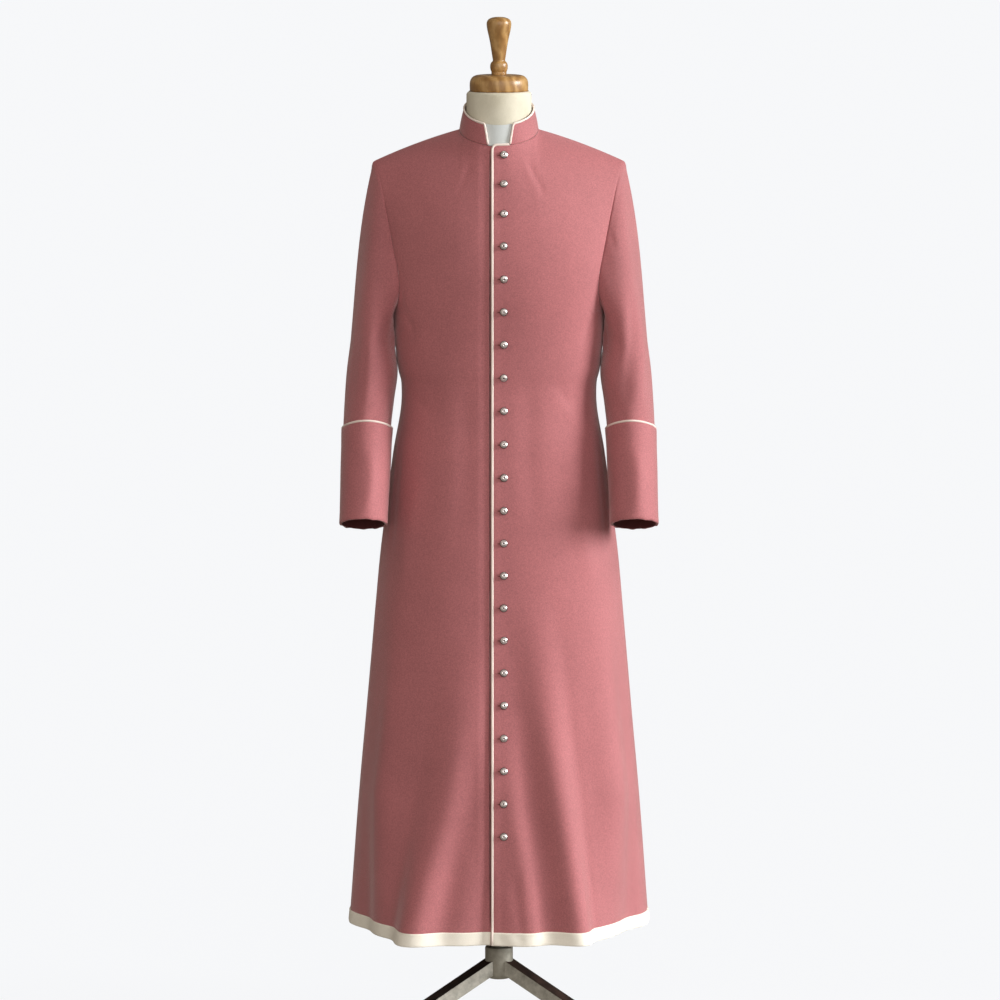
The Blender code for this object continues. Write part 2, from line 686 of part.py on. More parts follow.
def build_collar_piping(finish):
    """Cord up one notch edge, round the top edge and down the other notch edge."""
    lift = COLLAR_PIPING_RADIUS + SEAM + 0.0001
    bend = COLLAR_PIPING_RADIUS + 0.0006
    half = []
    for height in (0.09, 0.50, 0.92):
        angle = collar_angle(notch_x(height), height)
        half.append(collar_point(angle, height) - collar_out(angle, height) * COLLAR_PIPING_DEPTH)
    end = collar_angle(notch_x(1.0) + lift, 1.0)
    out = collar_out(end, 1.0)
    corner = collar_point(end, 1.0) - out * COLLAR_PIPING_DEPTH
    up = (collar_point(end, 1.0) - collar_point(end, 0.8)).normalized()
    aside = up.cross(out).normalized()
    if aside.x > 0.0:
        aside.negate()
    middle = corner + (aside + up) * (lift - bend)
    for degrees in (0.0, 30.0, 60.0, 90.0):
        turn = math.radians(degrees)
        half.append(middle + (aside * math.cos(turn) + up * math.sin(turn)) * bend)
    ring = []
    steps = 34
    for k in range(1, steps):
        angle = mix(end, 360.0 - end, k / steps)
        rise = (collar_point(angle, 1.0) - collar_point(angle, 0.8)).normalized()
        ring.append(collar_point(angle, 1.0) - collar_out(angle, 1.0) * COLLAR_PIPING_DEPTH
                    + rise * lift)
    mirrored = [Vector((-p.x, p.y, p.z)) for p in reversed(half)]
    tube("piping_collar", half + ring + mirrored, COLLAR_PIPING_RADIUS, finish)


def build_front_piping(finish):
    """Cord up the left front's edge, round its corner and along the neckline to the notch."""
    proud = 0.0001

    def surface(x, station):
        angle = angle_at_x(x, station)
        point = cloth_point(angle, station)
        across = cloth_point(angle + 1.0, station) - point
        step = -0.01 if station > 0.5 else 0.01
        along = (cloth_point(angle, station + step) - point) / step
        out = across.cross(along).normalized()
        if out.y > 0.0:
            out.negate()
        return point + out * proud, along.normalized(), out

    lift = FRONT_PIPING_RADIUS + 2 * SEAM
    bend = FRONT_PIPING_RADIUS + 0.0007
    points = [surface(FRONT_PIPING_X, station)[0] for station in STATIONS[:-1]]
    for degrees in (0.0, 25.0, 50.0, 75.0):
        turn = math.radians(degrees)
        x = FRONT_PIPING_X + bend * (1.0 - math.cos(turn))
        point, up, _ = surface(x, 1.0)
        points.append(point + up * (lift - bend + bend * math.sin(turn)))
    stop = NOTCH_BOTTOM_X - COLLAR_PIPING_RADIUS - SEAM
    start = FRONT_PIPING_X + bend
    for k in range(5):
        point, up, _ = surface(mix(start, stop, k / 4), 1.0)
        points.append(point + up * lift)
    tube("piping_front_edge", points, FRONT_PIPING_RADIUS, finish)


# ------------------------------------------------------------------ buttons
def build_buttons(finish):
    profile = [(0.0, BUTTON_HEIGHT - 0.0006), (0.0044, BUTTON_HEIGHT), (BUTTON_RADIUS, 0.0013),
               (0.0054, 0.0), (0.0, 0.0)]
    column = LAP_X.index(BUTTON_X)
    line = [(row[column], normals[column])
            for row, normals in zip(FRONTS[1].outer, FRONTS[1].normals)]
    for number in range(1, BUTTON_COUNT + 1):
        height = lookup(BUTTON_SPOTS, "number", "z", number)
        low = max(r for r, (point, _) in enumerate(line) if point.z <= height)
        (below, below_out), (above, above_out) = line[low], line[low + 1]
        share = (height - below.z) / (above.z - below.z)
        out = below_out.lerp(above_out, share).normalized()
        button = turned(f"button_{number:02d}", profile, finish, 8)
        button.location = below.lerp(above, share) + out * BUTTON_LIFT
        button.rotation_mode = "QUATERNION"
        button.rotation_quaternion = out.to_track_quat("Z", "Y")


# ------------------------------------------------------------------ dress form and stand
def build_form(finish):
    """Closed torso with its neck, below the cloth by a small gap on the shoulders."""
    quarter = [0.0, 6.5, 13.0, 19.5, 26.0, 42.0, 58.0, 74.0, 90.0]
    ring = [-a for a in quarter[:0:-1]] + quarter + [180.0 - a for a in quarter[-2:0:-1]]
    ring += [180.0] + [a - 180.0 for a in quarter[1:-1]]
    stations = [z - ARMPIT_Z for z in (0.800, 0.815, 0.870, 0.950, 1.050, 1.145, 1.210)]
    stations += [0.0, 0.15, 0.35, 0.55, 0.72, 0.86, 0.95, 1.0]
    bm = bmesh.new()
    rows = [[bm.verts.new(body_point(FORM, a, s)) for a in ring] for s in stations]
    for low, high in zip(rows, rows[1:]):
        strip(bm, low, high, True)
    bm.faces.new(rows[0])
    neck_angles = [a for a in ring if min(abs(a), 180.0 - abs(a)) <= NECK_ANGLE]
    turns = [a * 90.0 / NECK_ANGLE if abs(a) <= 90.0
             else math.copysign(180.0 - (180.0 - abs(a)) * 90.0 / NECK_ANGLE, a) for a in neck_angles]
    doubled = {round(t % 360.0, 3): t for t in turns}
    order = sorted(doubled)
    previous = [bm.verts.new(neck_point(FORM_YOKE, t)) for t in order]
    for rise, share in ((0.018, 1.03), (0.040, 1.0), (None, 1.0), (0.0, 0.94)):
        current = []
        for t in order:
            base = neck_point(FORM_YOKE, t)
            if rise is None:
                z = NECK_TOP_Z - 0.004
            elif rise == 0.0:
                z = NECK_TOP_Z
            else:
                z = base.z + rise
            turn = math.radians(t)
            current.append(bm.verts.new((
                share * NECK_HALF_WIDTH * math.sin(turn),
                NECK_CENTRE_Y - share * NECK_HALF_DEPTH * math.cos(turn), z)))
        strip(bm, previous, current, True)
        previous = current
    bm.faces.new(previous)
    bmesh.ops.remove_doubles(bm, verts=bm.verts, dist=0.00002)
    mesh_object("form_torso", bm, finish)


def build_leg(name, azimuth, finish):
    """Flat bar that slopes from the hub to a level foot."""
    outline = [(0.010, 0.1225), (0.207, 0.0220), (0.223, 0.0125), (LEG_REACH, 0.0070),
               (LEG_REACH, 0.0), (0.202, 0.0), (0.194, 0.0027), (0.010, 0.0965)]
    curve = bpy.data.curves.new(name, "CURVE")
    curve.dimensions = "2D"
    curve.fill_mode = "BOTH"
    curve.extrude = 0.5 * LEG_WIDTH
    spline = curve.splines.new("POLY")
    spline.points.add(len(outline) - 1)
    for knot, (radius, z) in zip(spline.points, outline):
        knot.co = (radius, z, 0.0, 1.0)
    spline.use_cyclic_u = True
    guide = add_object(name + "_outline", curve, None)
    guide.rotation_euler = (math.radians(90.0), 0.0, math.radians(azimuth))
    bpy.context.view_layer.update()
    evaluated = guide.evaluated_get(bpy.context.evaluated_depsgraph_get())
    mesh = bpy.data.meshes.new_from_object(evaluated)
    bm = bmesh.new()
    bm.from_mesh(mesh)
    bmesh.ops.remove_doubles(bm, verts=bm.verts, dist=0.00002)
    bmesh.ops.recalc_face_normals(bm, faces=bm.faces)
    bm.to_mesh(mesh)
    bm.free()
    leg = add_object(name, mesh, finish)
    leg.matrix_world = guide.matrix_world.copy()
    bpy.data.objects.remove(guide)
    cut = leg.modifiers.new("hub", "BOOLEAN")
    cut.operation = "DIFFERENCE"
    cut.object = HUB_CUTTER
    return leg


def build_stand(metal):
    bpy.ops.mesh.primitive_cylinder_add(vertices=12, radius=POLE_RADIUS,
                                        depth=FORM_SECTIONS[0].z - HUB_TOP_Z - 2 * SEAM)
    pole = bpy.context.object
    pole.name = pole.data.name = "pole"
    pole.location = (0.0, 0.0, 0.5 * (FORM_SECTIONS[0].z + HUB_TOP_Z))
    for owner in pole.users_collection:
        owner.objects.unlink(pole)
    PARTS.objects.link(pole)
    pole.data.materials.append(material("pole", *metal))
    edge = 0.0010
    turned("hub", [(0.0, HUB_TOP_Z), (HUB_RADIUS - edge, HUB_TOP_Z), (HUB_RADIUS, HUB_TOP_Z - edge),
                   (HUB_RADIUS, HUB_BOTTOM_Z + 0.006), (HUB_RADIUS - 0.006, HUB_BOTTOM_Z),
                   (0.0, HUB_BOTTOM_Z)], metal, 24)
    for name, azimuth in LEG_AZIMUTHS:
        build_leg(name, azimuth, metal)


def build_cap_and_finial(wood):
    edge = 0.0505
    base = NECK_TOP_Z + SEAM
    turned("form_cap", [(0.0, CAP_TOP_Z), (0.0375, CAP_TOP_Z), (0.0440, CAP_TOP_Z - 0.0020),
                        (0.0485, CAP_TOP_Z - 0.0065), (edge, CAP_TOP_Z - 0.0120),
                        (edge, base + 0.0010), (edge - 0.0010, base), (0.0, base)], wood, 24)
    foot = CAP_TOP_Z + SEAM
    turned("finial", [(0.0, 1.7788), (0.0110, 1.7779), (0.0185, 1.7750), (0.0213, 1.7700),
                      (0.0212, 1.7640), (0.0165, 1.7400), (0.0125, 1.7160), (0.0105, 1.7040),
                      (0.0135, 1.7005), (0.0152, 1.6930), (0.0140, 1.6850), (0.0120, foot),
                      (0.0, foot)], wood, 16)


# ------------------------------------------------------------------ build
for stale in list(bpy.data.objects):
    bpy.data.objects.remove(stale)

PARTS = bpy.data.collections.new(NAME)
CUTTERS = bpy.data.collections.new("cutters")
for group in (PARTS, CUTTERS):
    bpy.context.scene.collection.children.link(group)

ROSE = ((0.42, 0.135, 0.130), 0.85)
CREAM = ((0.77, 0.72, 0.62), 0.75)
WHITE = ((0.62, 0.64, 0.62), 0.60)
SILVER = ((0.62, 0.61, 0.60), 0.35, 1.0)
LINEN = ((0.66, 0.60, 0.48), 0.90)
WOOD = ((0.42, 0.24, 0.09), 0.50)
METAL = ((0.24, 0.23, 0.20), 0.45, 0.8)

bpy.ops.mesh.primitive_cylinder_add(vertices=24, radius=HUB_RADIUS + SEAM, depth=0.2)
HUB_CUTTER = bpy.context.object
HUB_CUTTER.name = "hub_cutter"
HUB_CUTTER.location = (0.0, 0.0, 0.1)
HUB_CUTTER.hide_render = True
HUB_CUTTER.display_type = "WIRE"
for holder in HUB_CUTTER.users_collection:
    holder.objects.unlink(HUB_CUTTER)
CUTTERS.objects.link(HUB_CUTTER)

FRONTS = {side: Panel(side, True) for side in (1, -1)}
BACKS = {side: Panel(side, False) for side in (1, -1)}
for side, label in ((1, "left"), (-1, "right")):
    sleeve = Sleeve(side, FRONTS[side], BACKS[side])
    sleeve.build(f"sleeve_{label}", ROSE)
    sleeve.cuff(f"cuff_{label}", ROSE)
    sleeve.cuff_piping(f"piping_cuff_{label}", CREAM)
    FRONTS[side].build(f"front_{label}", ROSE)
    BACKS[side].build(f"back_{label}", ROSE)
    FRONTS[side].band(f"hem_band_front_{label}", CREAM)
    BACKS[side].band(f"hem_band_back_{label}", CREAM)
build_collar(ROSE)
build_tab(WHITE)
build_collar_piping(CREAM)
build_front_piping(CREAM)
build_buttons(SILVER)
build_form(LINEN)
build_cap_and_finial(WOOD)
build_stand(METAL)
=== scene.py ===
"""Looks for a cassock on a limbless dress form with a tripod stand.

The cloth is rebuilt as thin shells on the formulas of its solids, with finer rows and columns
and listed creases. Metres, +Z up; the front faces -Y and the wearer's left is +X.
A place round the body is an angle (0 front, 90 wearer's left, 180 back, negative right) and
a station: below 0 metres under the armpit, from 0 to 1 the share of the way to the neckline.
"""
import math

import bpy
import numpy as np
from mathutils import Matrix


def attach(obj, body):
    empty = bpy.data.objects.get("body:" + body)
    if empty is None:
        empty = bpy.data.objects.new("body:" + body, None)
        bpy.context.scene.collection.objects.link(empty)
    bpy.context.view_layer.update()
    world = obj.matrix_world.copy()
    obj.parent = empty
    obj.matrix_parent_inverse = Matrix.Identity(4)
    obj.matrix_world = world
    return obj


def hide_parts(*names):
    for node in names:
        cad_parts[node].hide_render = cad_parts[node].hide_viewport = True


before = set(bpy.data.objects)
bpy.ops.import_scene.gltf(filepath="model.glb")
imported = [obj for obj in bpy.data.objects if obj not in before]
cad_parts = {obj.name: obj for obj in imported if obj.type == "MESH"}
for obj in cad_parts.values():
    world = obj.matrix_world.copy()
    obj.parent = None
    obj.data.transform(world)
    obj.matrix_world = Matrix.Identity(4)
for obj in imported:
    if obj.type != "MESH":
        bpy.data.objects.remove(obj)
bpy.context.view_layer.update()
ROOT = "root"

# ------------------------------------------------------------------ sizes, as in the solids
HEM_Z, ARMPIT_Z = 0.185, 1.2694
WALL, SEAM = 0.0017, 0.0003
LAP_EDGE, LAP_END = -0.009, 0.024
LAP_DEPTH, LAP_EASE = 0.0028, (0.0155, 0.038)
CLOSURE_X = 0.046        # the closure's fine columns end here
BREAK_HEM, BREAK_ARMPIT, NECK_ANGLE = 36.0, 30.0, 26.0
BAND_HEIGHT, BAND_WALL = 0.023, 0.0015
BUTTON_X, BUTTON_COUNT = 0.0085, 22
FRONT_PIPING_RADIUS = 0.0023
NOTCH_BOTTOM_X, NOTCH_TOP_X = 0.0188, 0.0246
COLLAR_WALL, COLLAR_PIPING_RADIUS, COLLAR_PIPING_DEPTH = 0.0024, 0.0018, 0.0004
TAB_ANGLE, TAB_SUNK, TAB_WALL = 28.0, 0.0033, 0.0014
NECK_HALF_WIDTH, NECK_HALF_DEPTH, NECK_CENTRE_Y, NECK_TOP_Z = 0.0565, 0.055, -0.0025, 1.6505
CAP_TOP_Z, FINIAL_TOP_Z = 1.6785, 1.7788
HUB_TOP_Z, HUB_BOTTOM_Z, HUB_RADIUS, POLE_RADIUS = 0.1402, 0.084, 0.0246, 0.012
FORM_BASE_Z, CAP_RIM_RADIUS = 0.8, 0.0505
SHOULDER_SWELL, CHEST_RISE, SLOPE_STEP = 0.045, 0.4, 0.01
CAP_FLARE, CAP_INNER_FLARE, CAP_ROUNDING = 0.24, 0.5, 0.35
CAP_DROP, CAP_INNER_DROP, CAP_PULL, CAP_SLOPE = 0.97, 0.85, 0.36, 0.09
CUFF_TOP_Z, CUFF_BOTTOM_Z, CUFF_PIPING_RADIUS = 1.0695, 0.9077, 0.0021
CLOTH_SHARP, CORD_SIDES = 50, 12


class Table:
    """Named columns, read by smooth interpolation and held level past the first and last row."""

    def __init__(self, names, *rows):
        self.columns = dict(zip(names.split(), np.array(rows, dtype=float).T))
        self.keys = self.columns[names.split()[0]]

    def at(self, where, name):
        keys, values = self.keys, self.columns[name]
        last = len(keys) - 1
        index = np.arange(last + 1)
        low, high = np.maximum(index - 1, 0), np.minimum(index + 1, last)
        slope = (values[high] - values[low]) / (keys[high] - keys[low])
        i = np.clip(np.searchsorted(keys, where, side="right") - 1, 0, last - 1)
        step = keys[i + 1] - keys[i]
        t = np.clip((where - keys[i]) / step, 0.0, 1.0)
        return ((2 * t**3 - 3 * t**2 + 1) * values[i] + (t**3 - 2 * t**2 + t) * step * slope[i]
                + (3 * t**2 - 2 * t**3) * values[i + 1] + (t**3 - t**2) * step * slope[i + 1])


class Body:
    """Sections up to the armpit, and the neck ring and shoulder line above them."""
    NAMES = ("sections half_width front back front_z side_z back_z tip_x tip_z crown "
             "reach fullness chest shoulder_blade").split()

    def __init__(self, *values):
        self.__dict__.update(zip(self.NAMES, values))


CLOTH = Body(
    Table("z half front back square",
          (0.185, 0.2585, 0.207, 0.214, 2.4), (0.402, 0.2438, 0.189, 0.1935, 2.4),
          (0.581, 0.2288, 0.174, 0.1745, 2.38), (0.759, 0.2138, 0.158, 0.155, 2.35),
          (0.865, 0.2046, 0.149, 0.145, 2.32), (1.02, 0.185, 0.131, 0.125, 2.3),
          (1.1, 0.1712, 0.121, 0.109, 2.28), (1.145, 0.1705, 0.118, 0.106, 2.28),
          (1.165, 0.1755, 0.1185, 0.1065, 2.28), (1.21, 0.1808, 0.12, 0.108, 2.28),
          (1.2694, 0.1855, 0.124, 0.112, 2.28)),
    0.0687, 0.075, 0.062, 1.5605, 1.5845, 1.598, 0.2185, 1.5285, 0.0035, 1.0, 1.0, 0.006, 0.012)
FORM = Body(
    Table("z half front back square",
          (0.8, 0.138, 0.086, 0.094, 2.1), (0.815, 0.15, 0.096, 0.104, 2.1),
          (0.95, 0.16, 0.105, 0.11, 2.1), (1.05, 0.15, 0.098, 0.098, 2.1),
          (1.145, 0.142, 0.093, 0.084, 2.1), (1.2694, 0.158, 0.106, 0.093, 2.15)),
    0.0645, 0.066, 0.055, 1.548, 1.5795, 1.587, 0.188, 1.5381, 0.0041, 0.82, 0.0, 0.006, 0.01)
COLLAR_TOP = Body(None, 0.0613, 0.0675, 0.06, 1.5938, 1.619, 1.638)
CONTROLS = Table("angle x front_depth front_z back_depth back_z",
                 (0, 0.0, 0.114, 1.485, 0.106, 1.52), (13, 0.04, 0.111, 1.505, 0.103, 1.53),
                 (26, 0.08, 0.104, 1.54, 0.096, 1.546), (45, 0.126, 0.087, 1.534, 0.084, 1.538),
                 (70, 0.176, 0.066, 1.52, 0.068, 1.52), (90, 0.213, 0.052, 1.498, 0.055, 1.498))
ARMHOLE = Table("station inset",
                (0, 0), (0.015, 0.0035), (0.05, 0.0105), (0.12, 0.016), (0.21, 0.0165),
                (0.32, 0.0135), (0.45, 0.011), (0.6, 0.0088), (0.75, 0.007), (0.88, 0.004),
                (1, 0))
BACK_ARMHOLE_SHARE = 0.8
SLEEVE = Table("z x y half_width half_depth pitch",
               (0.9077, 0.2348, -0.1085, 0.039, 0.048, 18),
                (0.955, 0.233, -0.094, 0.04, 0.05, 18),
               (1.01, 0.2311, -0.074, 0.0412, 0.053, 18),
                (1.0695, 0.2291, -0.051, 0.0415, 0.057, 16),
               (1.115, 0.2255, -0.035, 0.043, 0.0615, 13),
                (1.165, 0.2206, -0.02, 0.0444, 0.067, 9),
               (1.215, 0.2204, -0.01, 0.0382, 0.0715, 6))
SLEEVE_TOP_Z = 1.215
MEAN_METRES = 0.003   # for one degree
METRES_PER_DEGREE = Table("z metres", (0.185, 0.0041), (0.6, 0.0036), (0.9, 0.0031),
                          (1.12, 0.0026), (1.27, 0.0028), (1.55, 0.0028))

# Heights of the buttons, counted from the neck down.
BUTTON_SPOTS = Table("number z", (1, 1.5455), (3, 1.4464), (6, 1.2782), (11, 0.9914),
                     (17, 0.656), (22, 0.3743))
# Soft ridges that fan out down the skirt: top_angle hem_angle top_z half_angle depth
FOLDS = (
    (-3, -11, 0.58, 8, 0.01), (-8, -27.5, 0.72, 17, 0.024), (-26, -27.5, 0.4, 19, 0.018),
    (0, 7, 0.6, 12, 0.014), (13, 25.5, 0.8, 13, 0.03), (52, 58, 0.8, 18, 0.01),
    (60, 61, 0.43, 25, -0.03), (-50, -62, 0.82, 18, 0.011), (-64, -65, 0.43, 24, -0.025),
    (92, 92, 0.95, 11, 0.006), (-92, -92, 0.9, 11, 0.006), (128, 126, 1, 16, 0.014),
    (-126, -130, 1.02, 17, 0.015), (160, 155, 1.05, 13, 0.014), (-158, -156, 1.03, 13, 0.015))

# Creases: angle and z of each point of its path, then width and depth in millimetres;
# a valley is negative.
BODY_CREASES = (
    # skirt, beside the closure
    (-8.5, 0.64, -14.5, 0.44, -22.5, 0.31, -27, 0.2, 20, 3.2),
    (-5.5, 0.56, -8.5, 0.4, -15, 0.27, -18.5, 0.2, 17, -3.6),
    (0.5, 0.6, 3.5, 0.42, 7.5, 0.3, 9.5, 0.2, 12, 2.4),
    (7, 0.66, 10, 0.42, 15, 0.31, 18, 0.2, 18, -3.4),
    (14, 0.62, 20.5, 0.42, 25, 0.3, 27, 0.2, 18, 2.4), (3, 0.33, 4.6, 0.26, 5.6, 0.2, 8, -1.8),
    # skirt, towards the sides
    (-26, 0.7, -36, 0.45, -44, 0.19, 32, -1.8), (-60, 0.78, -64, 0.5, -70, 0.19, 30, -3.5),
    (30, 0.66, 38, 0.42, 44, 0.19, 32, -1.6), (66, 0.8, 69, 0.5, 72, 0.19, 30, -3.4),
    (84, 1, 83, 0.7, 82, 0.3, 20, 2.5), (-83, 0.98, -82, 0.66, -84, 0.26, 20, 2.8),
    # chest and waist
    (14, 1.535, 20, 1.505, 25, 1.47, 6, -1.1), (10, 1.545, 13.5, 1.52, 18, 1.49, 5, 0.9),
    (-13, 1.535, -18, 1.505, -22, 1.47, 6, -0.8), (72, 1.33, 60, 1.27, 50, 1.2, 10, -1.8),
    (-70, 1.34, -60, 1.28, -48, 1.22, 10, -1.8), (64, 1.3, 50, 1.24, 9, 1.2),
    (-62, 1.31, -52, 1.25, 9, 1.2), (12, 1.2, 15, 1.12, 13, 1.02, 16, 0.88, 16, -1.6),
    (-14, 1.22, -17, 1.12, -14, 1, -18, 0.86, 17, -1.8),
    (30, 1.16, 42, 1.12, 56, 1.13, 11, -1.4), (-32, 1.15, -44, 1.11, -58, 1.12, 11, -1.5),
    (36, 1.12, 50, 1.07, 10, 1.2), (-38, 1.11, -52, 1.06, 10, 1.2),
    (40, 1.05, 44, 0.94, 46, 0.78, 22, 2.6), (-42, 1.04, -47, 0.92, -50, 0.76, 22, 2.8),
    (70, 1.08, 67, 0.98, 64, 0.84, 12, -1.4), (-70, 1.09, -67, 0.97, -63, 0.82, 12, -1.5),
    # back
    (176, 1.12, 172, 0.9, 171, 0.6, 172, 0.25, 26, -4),
    (-175, 1.1, -171, 0.88, -172, 0.58, -170, 0.25, 26, -4.2),
    (144, 1.1, 142.5, 0.85, 141, 0.25, 21, -3.8), (-144, 1.08, -143, 0.85, -143, 0.25, 21, -4),
    (112, 1.02, 110, 0.7, 110, 0.22, 26, -3.4), (-110, 1.04, -111, 0.7, -112, 0.22, 26, -3.6),
    (160, 1.17, 145, 1.13, 128, 1.14, 11, -1.6), (-158, 1.16, -146, 1.12, -130, 1.13, 11, -1.8),
    (158, 1.13, 146, 1.09, 10, 1.3), (-160, 1.12, -148, 1.08, 10, 1.3),
    (112, 1.36, 122, 1.28, 132, 1.21, 13, -2.4), (-110, 1.37, -121, 1.29, -133, 1.2, 13, -2.5),
    (117, 1.4, 130, 1.33, 12, 1.6), (-116, 1.41, -129, 1.34, 12, 1.6),
    (165, 1.57, 152, 1.545, 138, 1.53, 10, -1.2),
    (-166, 1.57, -151, 1.545, -139, 1.53, 10, -1.2),
)
# On the sleeves the angle is 0 on the outer side, 90 in front, 180 beside the body and 270
# behind. Each sleeve has its own; the first is the wearer's left.
SLEEVE_CREASES = {
    1: (
        (155.6, 1.28, 159.2, 1.236, 162.9, 1.191, 7, 4),
        (54, 1.33, 70, 1.23, 94, 1.15, 112, 1.09, 16, -3.8),
        (26, 1.29, 42, 1.21, 64, 1.14, 80, 1.09, 15, 2.6),
        (112, 1.24, 104, 1.19, 116, 1.13, 12, -1.2), (140, 1.15, 125, 1.11, 95, 1.085, 10, -1.2),
        (240, 1.31, 252, 1.23, 268, 1.16, 13, -2.8), (300, 1.26, 292, 1.18, 280, 1.11, 13, -2.4),
        (262, 1.2, 285, 1.165, 312, 1.15, 10, 2), (255, 1.15, 280, 1.12, 310, 1.115, 10, -2.4),
        (80, 1.5, 76, 1.43, 70, 1.36, 11, -1.2), (280, 1.49, 284, 1.42, 288, 1.35, 12, -1.3),
    ),
    -1: (
        (155.6, 1.28, 159.2, 1.236, 162.9, 1.191, 7, 4),
        (124, 1.27, 116, 1.2, 120, 1.11, 15, -3), (88, 1.28, 86, 1.2, 90, 1.09, 13, 2.2),
        (50, 1.28, 46, 1.18, 52, 1.09, 14, -1.6), (140, 1.15, 118, 1.105, 90, 1.085, 10, -1.2),
        (236, 1.32, 250, 1.24, 266, 1.17, 13, -2.8), (304, 1.25, 294, 1.17, 282, 1.1, 13, -2.2),
        (260, 1.19, 284, 1.155, 308, 1.145, 10, 2.2),
        (258, 1.14, 282, 1.11, 312, 1.105, 10, -2.2), (84, 1.5, 80, 1.43, 74, 1.37, 11, -1.2),
        (278, 1.49, 283, 1.42, 289, 1.36, 12, -1.3),
    ),
}
CUFF_CREASES = {
    1: ((84, 1.06, 76, 0.99, 86, 0.91, 11, 2.4), (118, 1.06, 110, 0.98, 118, 0.91, 13, -1.2)),
    -1: ((102, 1.06, 108, 0.99, 100, 0.91, 10, 2.2), (70, 1.06, 76, 0.98, 70, 0.91, 13, -1.1)),
}


# ------------------------------------------------------------------ small helpers
def mix(a, b, t):
    return a + (b - a) * t


def unit(v):
    return v / np.maximum(np.linalg.norm(v, axis=-1, keepdims=True), 1e-12)


def smoothstep(t):
    t = np.clip(t, 0.0, 1.0)
    return t * t * (3.0 - 2.0 * t)


def bezier(p0, p1, p2, p3, t):
    s = 1.0 - t
    return p0 * s**3 + p1 * (3 * s * s * t) + p2 * (3 * s * t * t) + p3 * t**3


def vec(x, y, z):
    x, y, z = np.broadcast_arrays(x, y, z)
    return np.stack([x, y, z], -1).astype(float)


def interpolate(at, keys, rows):
    """Row of values where the keys have this value."""
    return np.array([np.interp(at, keys, column) for column in rows.T])


def sine(angle):
    return np.sin(np.radians(angle))


def cosine(angle):
    return np.cos(np.radians(angle))


def seamed(count, edge):
    """Shares from 0 to 1 with a narrow last step, for the groove of a seam."""
    return np.append(np.linspace(0.0, 1.0 - edge, count), 1.0)


# ------------------------------------------------------------------ the garment's surface
def section(body, angle, z):
    half, front, back, square = (
        body.sections.at(z, n) for n in ("half", "front", "back", "square"))
    s, c = sine(angle), cosine(angle)
    power = 2.0 / square
    depth = np.where(c >= 0.0, front, back)
    return vec(half * np.sign(s) * np.abs(s) ** power, -depth * np.sign(c) * np.abs(c) ** power, z)


def fold_relief(angle, z):
    relief = 0.0
    for top_angle, hem_angle, top_z, half_angle, depth in FOLDS:
        fall = np.clip((top_z - z) / (top_z - HEM_Z), 0.0, None)
        off = (angle - mix(top_angle, hem_angle, fall) + 180.0) % 360.0 - 180.0
        off = np.clip(np.abs(off) / half_angle, 0.0, 1.0)
        relief = relief + depth * fall * 0.5 * (1.0 + np.cos(math.pi * off))
    return relief


def neck(body, angle):
    s, c = sine(angle), cosine(angle)
    reach = np.where(c >= 0.0, body.front, body.back)
    end_z = np.where(c >= 0.0, body.front_z, body.back_z)
    return vec(body.half_width * s, -reach * c, mix(body.side_z, end_z, np.abs(c)))


def shoulder(body, share):
    drop = mix(body.side_z, body.tip_z, share) + 4.0 * body.crown * share * (1.0 - share)
    return vec(mix(body.half_width, body.tip_x, share), 0.0, drop)


def upper(body, angle, station):
    front = np.abs(angle) <= 90.0
    local = np.where(front, np.abs(angle), 180.0 - np.abs(angle))
    facing = np.where(front, -1.0, 1.0)
    around = np.where(front, local, 180.0 - local)
    bottom = section(body, around, ARMPIT_Z + 0.0 * local)
    below = section(body, around, ARMPIT_Z - SLOPE_STEP + 0.0 * local)
    along = np.minimum(local / NECK_ANGLE, 1.0)
    share = np.clip((local - NECK_ANGLE) / (90.0 - NECK_ANGLE), 0.0, 1.0)
    ring = neck(body, np.where(front, 90.0 * along, 180.0 - 90.0 * along))
    top = np.where((local <= NECK_ANGLE)[..., None], ring, shoulder(body, share))
    depth = np.where(front, CONTROLS.at(local, "front_depth"), CONTROLS.at(local, "back_depth"))
    height = np.where(front, CONTROLS.at(local, "front_z"), CONTROLS.at(local, "back_z"))
    thin = body.reach * (1.0 - (1.0 - body.fullness) * share**4)
    second = vec(CONTROLS.at(local, "x") * body.tip_x / CLOTH.tip_x, facing * depth * thin,
                 height + body.side_z - CLOTH.side_z)
    rise = unit(bottom - below) * (CHEST_RISE * (top[..., 2] - bottom[..., 2]))[..., None]
    swell = np.where(front, body.chest, body.shoulder_blade) * cosine(local)
    swell = swell + SHOULDER_SWELL * body.fullness * share**2
    first = bottom + rise + vec(0.0, facing * swell, 0.0)
    point = bezier(bottom, first, second, top, station[..., None])
    point[..., 0] = np.where(local > 0.0, np.copysign(point[..., 0], angle), 0.0)
    return point


def surface(body, angle, station):
    angle, station = np.broadcast_arrays(np.asarray(angle, float), np.asarray(station, float))
    low = section(body, angle, ARMPIT_Z + np.minimum(station, 0.0))
    if body is CLOTH:
        out = unit(low * (1.0, 1.0, 0.0))
        low = low + out * (fold_relief(angle, low[..., 2]) * (station < 0.0))[..., None]
    return np.where((station > 0.0)[..., None], upper(body, angle, np.maximum(station, 0.0)), low)


def angle_at_x(x, station, low=-60.0, high=90.0, back=False):
    low, high = np.full_like(station, low), np.full_like(station, high)
    for _ in range(34):
        middle = 0.5 * (low + high)
        less = surface(CLOTH, 180.0 - middle if back else middle, station)[..., 0] < x
        low, high = np.where(less, middle, low), np.where(less, high, middle)
    return 0.5 * (low + high)


